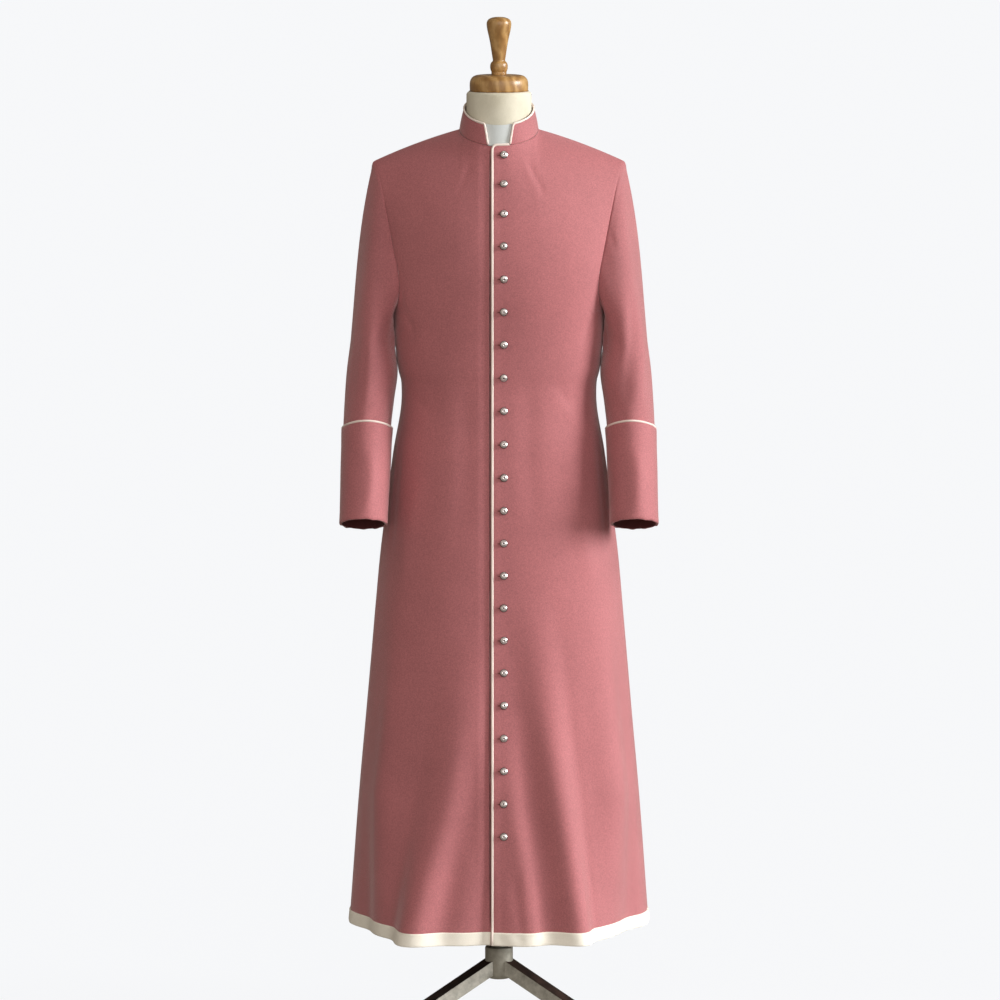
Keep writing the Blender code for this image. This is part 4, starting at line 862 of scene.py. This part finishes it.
class Sleeve:
    """Tube from the armhole to the end under the cuff."""

    def __init__(self, side, front, back):
        self.side = side
        loop = np.concatenate([front.outer[:ARMPIT_ROW - 1:-1, -1],
                               back.outer[ARMPIT_ROW + 1:-1, -1]])
        steps = np.linalg.norm(np.roll(loop, -1, 0) - loop, axis=-1)
        run = np.concatenate([[0.0], np.cumsum(steps)])
        armpit = len(STATIONS) - 1 - ARMPIT_ROW
        half, whole = run[armpit], run[-1]
        run = run[:-1]
        self.angles = np.where(run <= half, 180.0 * run / half,
                               180.0 + 180.0 * (run - half) / (whole - half))
        end = ring_points(side, np.array([SLEEVE_TOP_Z]), self.angles)[0]
        inward = 0.5 * (1.0 - cosine(self.angles))
        leave = unit(vec(side * mix(CAP_FLARE, CAP_INNER_FLARE, inward),
                         -CAP_ROUNDING * sine(self.angles), -mix(CAP_DROP, CAP_INNER_DROP, inward)))
        pitch = float(SLEEVE.columns["pitch"][-1])
        arrive = np.array([side * CAP_SLOPE, -sine(pitch), -cosine(pitch)])
        reach = CAP_PULL * np.linalg.norm(end - loop, axis=-1)[:, None]
        shares = np.concatenate([[0.0, CAP_FIRST], np.linspace(0.0, 1.0, CAP_ROWS)[1:]])
        shares = shares[:, None, None]
        cap = bezier(loop[None], (loop + leave * reach)[None], (end - arrive * reach)[None],
                     end[None], shares)
        heights = np.linspace(SLEEVE_TOP_Z, CUFF_BOTTOM_Z, ARM_ROWS)[1:]
        grid = np.concatenate([cap, ring_points(side, heights, self.angles)])
        middle = grid.mean(1, keepdims=True)
        outward = grid - middle
        outward[:2, :, 2] += 0.02
        self.outward = outward
        normals = grid_normals(grid, True, outward)
        metres = np.linalg.norm(np.roll(grid, -1, 1) - grid, axis=-1).sum(1)[:, None] / 360.0
        relief = crease_relief(self.angles[None], grid[..., 2], SLEEVE_CREASES[side], metres)
        first = lengths(grid, 0)
        over = smoothstep(HEAD_OVER - (180.0 - np.abs(self.angles - 180.0)) / HEAD_FADE)
        head = np.exp(-((first - HEAD_REACH) / HEAD_REACH) ** 2) * over[None]
        relief = relief * smoothstep(first / CAP_CALM) + HEAD_RIDGE * head
        relief[0] -= SEAM_GROOVE * HEAD_GROOVE
        relief *= smoothstep((grid[..., 2] - CUFF_BOTTOM_Z) / CUFF_CALM)
        self.outer = grid + normals * relief[..., None]
        self.normals = grid_normals(self.outer, True, outward)

    def build(self, name, node):
        inner = self.outer - self.normals * WALL
        return wool_shell(name, self.outer, inner, self.outward, node, True)

    def cuff(self, name, node):
        rows = np.linspace(CUFF_BOTTOM_Z + CUFF_ROUNDING, CUFF_TOP_Z - CUFF_ROUNDING, CUFF_ROWS)
        heights = np.concatenate([[CUFF_BOTTOM_Z], rows, [CUFF_TOP_Z]])
        angles = np.linspace(0.0, 360.0, CUFF_COLUMNS, endpoint=False)
        grid = ring_points(self.side, heights, angles)
        outward = grid - grid.mean(1, keepdims=True)
        normals = grid_normals(grid, True, outward)
        relief = crease_relief(angles[None], grid[..., 2], CUFF_CREASES[self.side],
                               np.full_like(grid[..., 0], CUFF_CREASE_SCALE))
        share = np.linspace(0.0, 1.0, len(heights))[:, None]
        flare = CUFF_TOP_FLARE * smoothstep((share - 0.75) / 0.25)
        flare += CUFF_END_FLARE * smoothstep((0.15 - share) / 0.15)
        ends = np.full_like(share, 1.0)
        ends[0] = ends[-1] = CUFF_END_SHARE
        ruffle = np.sin(np.radians(angles) * 9.0 + self.side)
        ruffle += 0.7 * np.sin(np.radians(angles) * 14.0 + 2.0)
        grid[..., 2] += (CUFF_RUFFLE * ruffle)[None] * np.exp(-share / RUFFLE_REACH)
        grid[..., 2] -= CUFF_SAG * cosine(angles)[None] ** 2 * share**4
        relief = CUFF_WALL + relief * (share * (1 - share) * 4) ** 0.5 + flare
        lift = SEAM + CUFF_LIFT + relief * ends
        outer = grid + normals * lift[..., None]
        inner = grid + normals * (SEAM * 0.7)
        self.cuff_edge = (outer[-1], normals[-1], unit(grid[-1] - grid[-4]))
        return wool_shell(name, outer, inner, outward, node, True)

    def cuff_piping(self, name, node):
        edge, out, up = self.cuff_edge
        path = edge - out * 0.0006 + up * (CUFF_PIPING_RADIUS * 0.9)
        return cord(name, path, out, CUFF_PIPING_RADIUS * 0.92, node, True, 0.9)


# ------------------------------------------------------------------ collar
COLLAR_ROWS, COLLAR_COLUMNS, TAB_ROWS, TAB_COLUMNS = 14, 150, 14, 40
COLLAR_BOW, COLLAR_FOOT, COLLAR_SEAM, TAB_BOW = 0.0006, 0.0008, 0.0004, 0.0004


def collar_point(angle, height):
    point = mix(neck(CLOTH, angle), neck(COLLAR_TOP, angle), np.asarray(height)[..., None])
    return point + vec(0.0, 0.0, SEAM * (1.0 - height))


def collar_out(angle, height):
    across = collar_point(angle + 1.0, height) - collar_point(angle - 1.0, height)
    up = collar_point(angle, 1.0 + 0.0 * height) - collar_point(angle, 0.0 * height)
    normal = unit(np.cross(across, up))
    away = collar_point(angle, height) - np.array([0.0, 0.0, 1.6])
    return np.where(np.sum(normal * away, -1, keepdims=True) < 0.0, -normal, normal)


def collar_angle(x, height):
    return np.degrees(np.arcsin(x / mix(CLOTH.half_width, COLLAR_TOP.half_width, height)))


def build_collar():
    heights = np.concatenate([[0.0, 0.03], np.linspace(0.08, 0.97, COLLAR_ROWS), [1.0]])[:, None]
    notch = mix(NOTCH_BOTTOM_X, NOTCH_TOP_X, heights)
    start = collar_angle(notch + COLLAR_PIPING_RADIUS * 0.6, heights)
    share = np.linspace(0.0, 1.0, COLLAR_COLUMNS)[None]
    angles = mix(start, 360.0 - start, share)
    high = heights + 0.0 * angles
    out = collar_out(angles, high)
    lift = COLLAR_BOW * np.sin(math.pi * high) - COLLAR_FOOT * (high < 0.02)
    lift = lift - COLLAR_SEAM * (np.abs(angles - 180.0) < 0.8)
    outer = collar_point(angles, high) + out * lift[..., None]
    inner = collar_point(angles, high) - out * COLLAR_WALL
    return wool_shell("collar_cloth", outer, inner, out, "collar")


def build_tab():
    heights = np.linspace(0.0, 1.08, TAB_ROWS)[:, None]
    angles = np.linspace(-TAB_ANGLE, TAB_ANGLE, TAB_COLUMNS)[None] + 0.0 * heights
    high = heights + 0.0 * angles
    out = collar_out(angles, high)
    bow = TAB_BOW * np.cos(np.radians(angles * 90.0 / TAB_ANGLE))
    outer = collar_point(angles, high) - out * (TAB_SUNK - bow)[..., None]
    inner = collar_point(angles, high) - out * (TAB_SUNK + TAB_WALL)
    return shell("tab_cloth", outer, inner, out, [WHITE], "collar_tab_white", "tab_insert")


def build_collar_piping():
    lift = COLLAR_PIPING_RADIUS + SEAM
    bend = COLLAR_PIPING_RADIUS + 0.0012
    half = []
    for height in np.linspace(0.06, 0.9, 10):
        h = np.array([height])
        angle = collar_angle(mix(NOTCH_BOTTOM_X, NOTCH_TOP_X, h), h)
        half.append((collar_point(angle, h) - collar_out(angle, h) * COLLAR_PIPING_DEPTH)[0])
    one = np.array([1.0])
    end = collar_angle(NOTCH_TOP_X + lift * one, one)
    out = collar_out(end, one)[0]
    corner = collar_point(end, one)[0] - out * COLLAR_PIPING_DEPTH
    up = unit(collar_point(end, one)[0] - collar_point(end, one * 0.8)[0])
    aside = unit(np.cross(up, out))
    aside = -aside if aside[0] > 0.0 else aside
    middle = corner + (aside + up) * (lift - bend)
    for turn in np.linspace(0.0, 0.5 * math.pi, 7):
        half.append(middle + (aside * math.cos(turn) + up * math.sin(turn)) * bend)
    angles = mix(end[0], 360.0 - end[0], np.linspace(0.0, 1.0, 140)[1:-1])
    ones = np.ones_like(angles)
    rise = unit(collar_point(angles, ones) - collar_point(angles, 0.8 * ones))
    ring = collar_point(angles, ones) - collar_out(angles, ones) * COLLAR_PIPING_DEPTH + rise * lift
    half = np.array(half)
    path = np.concatenate([half, ring, half[::-1] * (-1.0, 1.0, 1.0)])
    out = unit(path * (1.0, 1.0, 0.0))
    return cord("collar_cord", path, out, COLLAR_PIPING_RADIUS, "piping_collar")


# ------------------------------------------------------------------ closure
PIPING_SUNK, BAND_PIPING_PROUD = 0.001, 0.0012   # behind the edge's face, and proud at the band


def build_front_piping(panel):
    """Cord up the left front's edge, round its corner and along the neckline to the notch."""
    last = len(STATIONS)
    rows = [*range(0, last - 8, 2), *range(last - 8, last)]
    edge = [panel.outer[row, 0] for row in rows]
    out = [panel.normals[row, 0] for row in rows]
    stop = NOTCH_BOTTOM_X - 0.0008
    neckline = panel.outer[-1, :LAP_COLUMNS]
    for column in range(1, LAP_COLUMNS):
        if neckline[column, 0] < stop:
            edge.append(neckline[column])
            out.append(panel.normals[-2, column])
    edge.append(interpolate(stop, neckline[:, 0], neckline))
    edge, out = np.array(edge), np.array(out + out[-1:])
    along = unit(np.gradient(edge, axis=0))
    aside = unit(np.cross(out, along))
    low = smoothstep((HEM_Z + BAND_HEIGHT + 0.008 - edge[:, 2]) / 0.01)
    sunk = mix(PIPING_SUNK, -BAND_PIPING_PROUD, low)
    path = edge + aside * (FRONT_PIPING_RADIUS + 0.0001) - out * sunk[:, None]
    return cord("front_cord", path, out, FRONT_PIPING_RADIUS, "piping_front_edge")


def button_frame(panel, number, aside=0.0, drop=0.0):
    """Point, normal, up and right on the panel, at or beside the button of this number."""
    z = float(BUTTON_SPOTS.at(np.array(number + 1.0), "z")) - drop
    point, normal = panel.at(BUTTON_X - aside, z)
    right = unit(np.cross(np.array([0.0, 0.0, 1.0]), -normal))
    right = right if right[0] > 0.0 else -right
    up = unit(np.cross(normal, right))
    return point, normal, (up if up[2] > 0.0 else -up), right


BUTTON_PROFILE = ((0.0, 0.0029), (0.0008, 0.003), (0.0013, 0.0039), (0.002, 0.0044),
                  (0.003, 0.0042), (0.0042, 0.0036), (0.0052, 0.0027), (0.006, 0.0022),
                  (0.0068, 0.0016), (0.0066, 0.0008), (0.0054, 0.0002), (0.0, 0.0001))
# Inside the first radius and outside the second the button takes the painted shade and dark
# reflection.
BUTTON_RECESS, BUTTON_RIM = 0.0013, 0.0057   # radii of the dark centre and of the dark rim
BUTTON_LIFT = 0.001
# Small turns of the buttons on their shanks, degrees: sideways, up
BUTTON_TILTS = ((3, -4), (-5, 6), (2, 8), (-7, 3), (5, -6), (-3, 7), (6, 4), (-6, -5), (4, 6),
                (-2, 8), (7, 2))
SLIT_HALF_LENGTH, SLIT_HALF_WIDTH = 0.0042, 0.0005
SLIT_SHIFT, SLIT_DROP, SLIT_LIFT, SLIT_SIDES = 0.0058, 0.0006, 0.0003, 6
WORKED_RADIUS, WORKED_RIPPLE = 0.00046, 0.00008   # of the buttonhole's stitched rim


def build_buttons(panel):
    shape, faces = lathe_points(smoothed(BUTTON_PROFILE, 30), 36)
    reach = np.hypot(shape[:, 0], shape[:, 1])[np.array(faces)]
    # Faces of the centre and of the rim, which take the painted shade and dark reflection.
    recess = (reach.max(1) < BUTTON_RECESS) | (reach.min(1) > BUTTON_RIM)
    for k in range(BUTTON_COUNT):
        point, normal, up, right = button_frame(panel, k)
        aside, raised = np.tan(np.radians(BUTTON_TILTS[k % len(BUTTON_TILTS)]))
        facing = unit(normal + right * aside + up * raised)
        x_axis = unit(right - facing * np.dot(right, facing))
        axes = np.stack([x_axis, np.cross(facing, x_axis), facing])
        node = f"button_{k + 1:02d}"
        mesh_piece(node + "_cast", shape @ axes + point + normal * BUTTON_LIFT, faces,
                   [SILVER, BUTTON_PAINTED_SHADE], "button_silver", [node], slots=recess.astype(int))


def build_buttonholes(panel):
    """Worked buttonhole to the left of each button: a stitched rim round a dark sheet of painted
    shade in the slit, in one piece.
    """
    points, faces, slots, start = [], [], [], 0
    turn = np.linspace(0.0, 2.0 * math.pi, 28, endpoint=False)
    across = np.sign(np.cos(turn)) * SLIT_HALF_LENGTH + SLIT_HALF_WIDTH * np.cos(turn)
    width = (WORKED_RADIUS + WORKED_RIPPLE * np.cos(turn * 14.0))[:, None, None]
    for k in range(BUTTON_COUNT):
        point, normal, up, right = button_frame(panel, k, SLIT_SHIFT, SLIT_DROP)
        path = point + normal * SLIT_LIFT + across[:, None] * right
        path = path + (SLIT_HALF_WIDTH * np.sin(turn))[:, None] * up
        along = unit(np.roll(path, -1, 0) - np.roll(path, 1, 0))
        ring = hose(path, np.cross(along, normal), normal[None], width, SLIT_SIDES)
        ring = np.concatenate([ring, ring[:1]])
        rim = quads(len(ring), SLIT_SIDES)[:, ::-1] + start
        # The slit is a flat face just above the cloth, in the painted shade.
        points += [ring.reshape(-1, 3), path + normal * 0.0001]
        start += ring.size // 3
        faces += [*rim.tolist(), range(start, start + len(path))]
        slots += [0] * len(rim) + [1]
        start += len(path)
    mesh_piece("buttonholes", np.concatenate(points), faces, [THREAD, SLIT], "wool_rose",
               slots=slots)


# A stitch: a rod with pointed ends, as shares of its length and radii to the side and out.
STITCH = ((-0.5, 0, 0), (-0.25, 1, 0), (-0.25, 0, 1), (-0.25, -1, 0), (-0.25, 0, -1),
          (0.25, 1, 0), (0.25, 0, 1), (0.25, -1, 0), (0.25, 0, -1), (0.5, 0, 0))
STITCH_FACES = ((0, 2, 1), (0, 3, 2), (0, 4, 3), (0, 1, 4), (9, 5, 6), (9, 6, 7), (9, 7, 8),
                (9, 8, 5), (1, 2, 6, 5), (2, 3, 7, 6), (3, 4, 8, 7), (4, 1, 5, 8))
STITCH_PITCH, STITCH_LENGTH, STITCH_RADIUS = 0.0042, 0.0028, 0.00038


def stitches(name, path, out):
    """Row of single stitches along a path, in one piece."""
    run = np.concatenate([[0.0], np.cumsum(np.linalg.norm(np.diff(path, axis=0), axis=-1))])
    points, faces = [], []
    for start in np.arange(0.5 * STITCH_PITCH, run[-1] - STITCH_PITCH, STITCH_PITCH):
        a, b = interpolate(start, run, path), interpolate(start + STITCH_LENGTH, run, path)
        normal = unit(interpolate(start, run, out))
        along = unit(b - a)
        axes = np.stack([along * STITCH_LENGTH, np.cross(normal, along) * STITCH_RADIUS,
                         normal * STITCH_RADIUS])
        faces += [[len(points) + i for i in face] for face in STITCH_FACES]
        points.extend(0.5 * (a + b) + np.array(STITCH) @ axes)
    return mesh_piece(name, points, faces, [CREAM_THREAD], "trim_cream")


# ------------------------------------------------------------------ form and stand
def build_form():
    quarter = np.concatenate([np.linspace(0.0, NECK_ANGLE, 9),
                              np.linspace(NECK_ANGLE, 90.0, 16)[1:]])
    ring = np.concatenate([-quarter[:0:-1], quarter, 180.0 - quarter[-2::-1],
                           quarter[1:-1] - 180.0])
    low = FORM_BASE_Z - ARMPIT_Z
    stations = np.concatenate([low + np.array([0.0, 0.003, 0.007, 0.012]),
                               np.linspace(low + 0.02, 0.0, 34), np.linspace(0.0, 1.0, 44)[1:]])
    torso = surface(FORM, ring[None], stations[:, None]).reshape(-1, 3)
    faces = quads(len(stations), len(ring)).tolist() + [range(len(ring) - 1, -1, -1)]
    turn = np.linspace(0.0, 360.0, 72, endpoint=False)
    profile = Table("at rise share", (0, 0.0, 0.0), (1, 0.009, 0.72), (2, 0.018, 1.0),
                    (3, 0.03, 1.0), (4, 0.044, 1.0))
    base = neck(FORM, turn)

    def column(share, z):
        return vec(share * NECK_HALF_WIDTH * sine(turn),
                   NECK_CENTRE_Y - share * NECK_HALF_DEPTH * cosine(turn), z)

    rings = []
    for at in np.linspace(0.0, 4.0, 18):
        rise, share = (float(profile.at(np.array([at]), n)[0]) for n in ("rise", "share"))
        step = mix(base, column(1.0, 0.0), share)
        step[:, 2] = np.minimum(base[:, 2] + rise, NECK_TOP_Z - 0.007)
        rings.append(step)
    for drop, share in ((0.0052, 0.998), (0.0034, 0.986), (0.0018, 0.965), (0.0007, 0.94),
                        (0.0, 0.905), (0.0, 0.5)):
        rings.append(column(share, NECK_TOP_Z - drop))
    faces += (quads(len(rings), len(turn)) + len(torso)).tolist()
    points = np.concatenate([torso, np.reshape(rings, (-1, 3))])
    return mesh_piece("form_cover", points, faces, [LINEN], "form_linen", ["form_torso"],
                      sharp=CLOTH_SHARP)


def build_wood():
    rim, base, top = CAP_RIM_RADIUS, NECK_TOP_Z + SEAM, CAP_TOP_Z
    cap = [(0.0, top), (0.03, top), (0.0375, top - 0.0003), (0.0415, top - 0.0012),
           (0.045, top - 0.003), (0.0478, top - 0.0058), (0.0496, top - 0.0092),
           (rim, top - 0.013), (rim + 0.0003, top - 0.018), (rim, base + 0.0022),
           (rim - 0.0008, base + 0.0006), (rim - 0.0024, base), (0.0, base)]
    turned("cap_turned", smoothed(cap, 70), WOOD, "form_wood", "form_cap", 80)
    foot, top = CAP_TOP_Z + SEAM, FINIAL_TOP_Z
    finial = [(0.0, top), (0.0075, top - 0.0003), (0.014, top - 0.0019), (0.0188, top - 0.0048),
              (0.0212, top - 0.0095), (0.0213, top - 0.015), (0.0202, 1.7565), (0.0183, 1.748),
              (0.0163, 1.739), (0.0145, 1.729), (0.013, 1.719), (0.0118, 1.711),
              (0.0108, 1.7052), (0.0108, 1.703), (0.0122, 1.7012), (0.014, 1.6992),
              (0.0151, 1.6955), (0.0153, 1.692), (0.0147, 1.688), (0.0136, 1.685),
              (0.0131, 1.6835), (0.0132, 1.6815), (0.0128, foot + 0.0008), (0.0118, foot),
              (0.0, foot)]
    turned("finial_turned", smoothed(finial, 110), WOOD, "form_wood", "finial", 64)


def build_stand():
    r, top, low = HUB_RADIUS, HUB_TOP_Z, HUB_BOTTOM_Z
    hub = [(0.0, top - 0.001), (0.0135, top - 0.001), (0.0145, top - 0.003),
           (0.016, top - 0.003), (0.017, top), (r - 0.0022, top), (r - 0.0008, top - 0.0006),
           (r, top - 0.0022), (r, low + 0.0105), (r - 0.0008, low + 0.006),
           (r - 0.003, low + 0.0022), (r - 0.0062, low), (0.008, low), (0.0, low)]
    turned("hub_casting", hub, METAL, "stand_metal", "hub", 64, 30)
    r, top, low = POLE_RADIUS, FORM_BASE_Z - SEAM, HUB_TOP_Z + SEAM
    pole = [(0.0, top), (r, top), (r, 0.4702), (r - 0.0008, 0.4698), (r - 0.0008, 0.469),
            (r, 0.4686), (r, low), (0.0, low)]
    turned("pole_tube", pole, METAL, "stand_metal", "pole", 40, 30)
    for name in ("leg_left", "leg_right", "leg_back"):
        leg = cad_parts[name]
        leg.data.materials.clear()
        leg.data.materials.append(LEG)
        rounding = leg.modifiers.new("rounded_edges", "BEVEL")
        rounding.width, rounding.segments, rounding.limit_method = 0.0009, 2, "ANGLE"
        rounding.angle_limit = math.radians(30.0)


# ------------------------------------------------------------------ build
names = {(1, True): "front_left", (-1, True): "front_right",
         (1, False): "back_left", (-1, False): "back_right"}
panels = {key: Panel(*key) for key in names}
form = build_form()
# The cloth of each panel
pieces = {node: panels[key].build(node + "_cloth", node) for key, node in names.items()}
for key, node in names.items():
    trim, path, out = band(f"hem_band_{node}_cloth", f"hem_band_{node}", panels[key])
    seam = stitches(f"hem_stitches_{node}", path, out)
front_cord = build_front_piping(panels[(1, True)])
build_buttons(panels[(1, True)])
build_buttonholes(panels[(1, True)])
collar = build_collar()
tab = build_tab()
collar_cord = build_collar_piping()
for side, word in ((1, "left"), (-1, "right")):
    sleeve = Sleeve(side, panels[(side, True)], panels[(side, False)])
    arm = sleeve.build(f"sleeve_{word}_cloth", f"sleeve_{word}")
    cuff = sleeve.cuff(f"cuff_{word}_cloth", f"cuff_{word}")
    edge = sleeve.cuff_piping(f"cuff_{word}_cord", f"piping_cuff_{word}")
build_wood()
build_stand()

# ------------------------------------------------------------------ stage, light and camera
FLOOR_RADIUS, DOME_RADIUS, DOME_DROP = 80.0, 78.0, 1.0
BACKGROUND = (0.902, 0.91, 0.926, 1.0)
WORLD_COLOUR, WORLD_STRENGTH = (1.0, 0.88, 0.75, 1.0), 0.18
CAMERA, CAMERA_PITCH, CAMERA_LENS = (0.0018, -10.0, 2.25), 7.489, 207.5
# Each sun's azimuth (0 front, 90 the wearer's left), elevation, strength, spread and colour
SUNS = {"key": (81.0, 17.0, 4.3, 26.0, (1.0, 1.0, 1.0)),
        "front_fill": (14.0, 22.0, 1.25, 60.0, (1.0, 0.97, 0.94)),
        "left_fill": (-42.0, 14.0, 0.34, 70.0, (1.0, 0.9, 0.78))}


def stage_piece(name, points, faces, diffuse):
    """Piece of the stage that glows evenly in the background's colour."""
    finish = Finish(name + "_paper", (diffuse, diffuse, diffuse, 1.0), 1.0, Emission_Strength=1.0,
                    Specular_IOR_Level=0.0, Emission_Color=BACKGROUND)
    item = mesh_object(name, points, faces, [finish.done()])
    item.visible_diffuse = item.visible_glossy = item.visible_shadow = False


turn = np.linspace(0.0, 2.0 * math.pi, 64, endpoint=False)
stage_piece("floor", vec(FLOOR_RADIUS * np.cos(turn), FLOOR_RADIUS * np.sin(turn), 0.0),
            [range(64)], 0.035)
rise = np.linspace(1.57, -0.05, 12)
dome = np.stack([DOME_RADIUS * np.cos(rise), DOME_RADIUS * np.sin(rise) - DOME_DROP], -1)
stage_piece("backdrop", *lathe_points(smoothed(dome, 24), 48), 0.0)

scene = bpy.context.scene
scene.view_settings.view_transform = "Standard"
scene.view_settings.look = "None"
world = bpy.data.worlds.new("studio")
scene.world = world
world.use_nodes = True
world.node_tree.nodes["Background"].inputs["Color"].default_value = WORLD_COLOUR
world.node_tree.nodes["Background"].inputs["Strength"].default_value = WORLD_STRENGTH
for name, (azimuth, elevation, strength, spread, colour) in SUNS.items():
    light = bpy.data.lights.new(name, "SUN")
    light.energy, light.angle, light.color = strength, math.radians(spread), colour
    item = bpy.data.objects.new(name, light)
    item.rotation_euler = (math.radians(90.0 - elevation), 0.0, math.radians(azimuth))
    scene.collection.objects.link(item)

camera_data = bpy.data.cameras.new("camera")
camera_data.lens, camera_data.sensor_width, camera_data.clip_end = CAMERA_LENS, 36.0, 400.0
camera = bpy.data.objects.new("camera", camera_data)
scene.collection.objects.link(camera)
camera.location = CAMERA
camera.rotation_euler = (math.radians(90.0 - CAMERA_PITCH), 0.0, 0.0)
scene.camera = camera
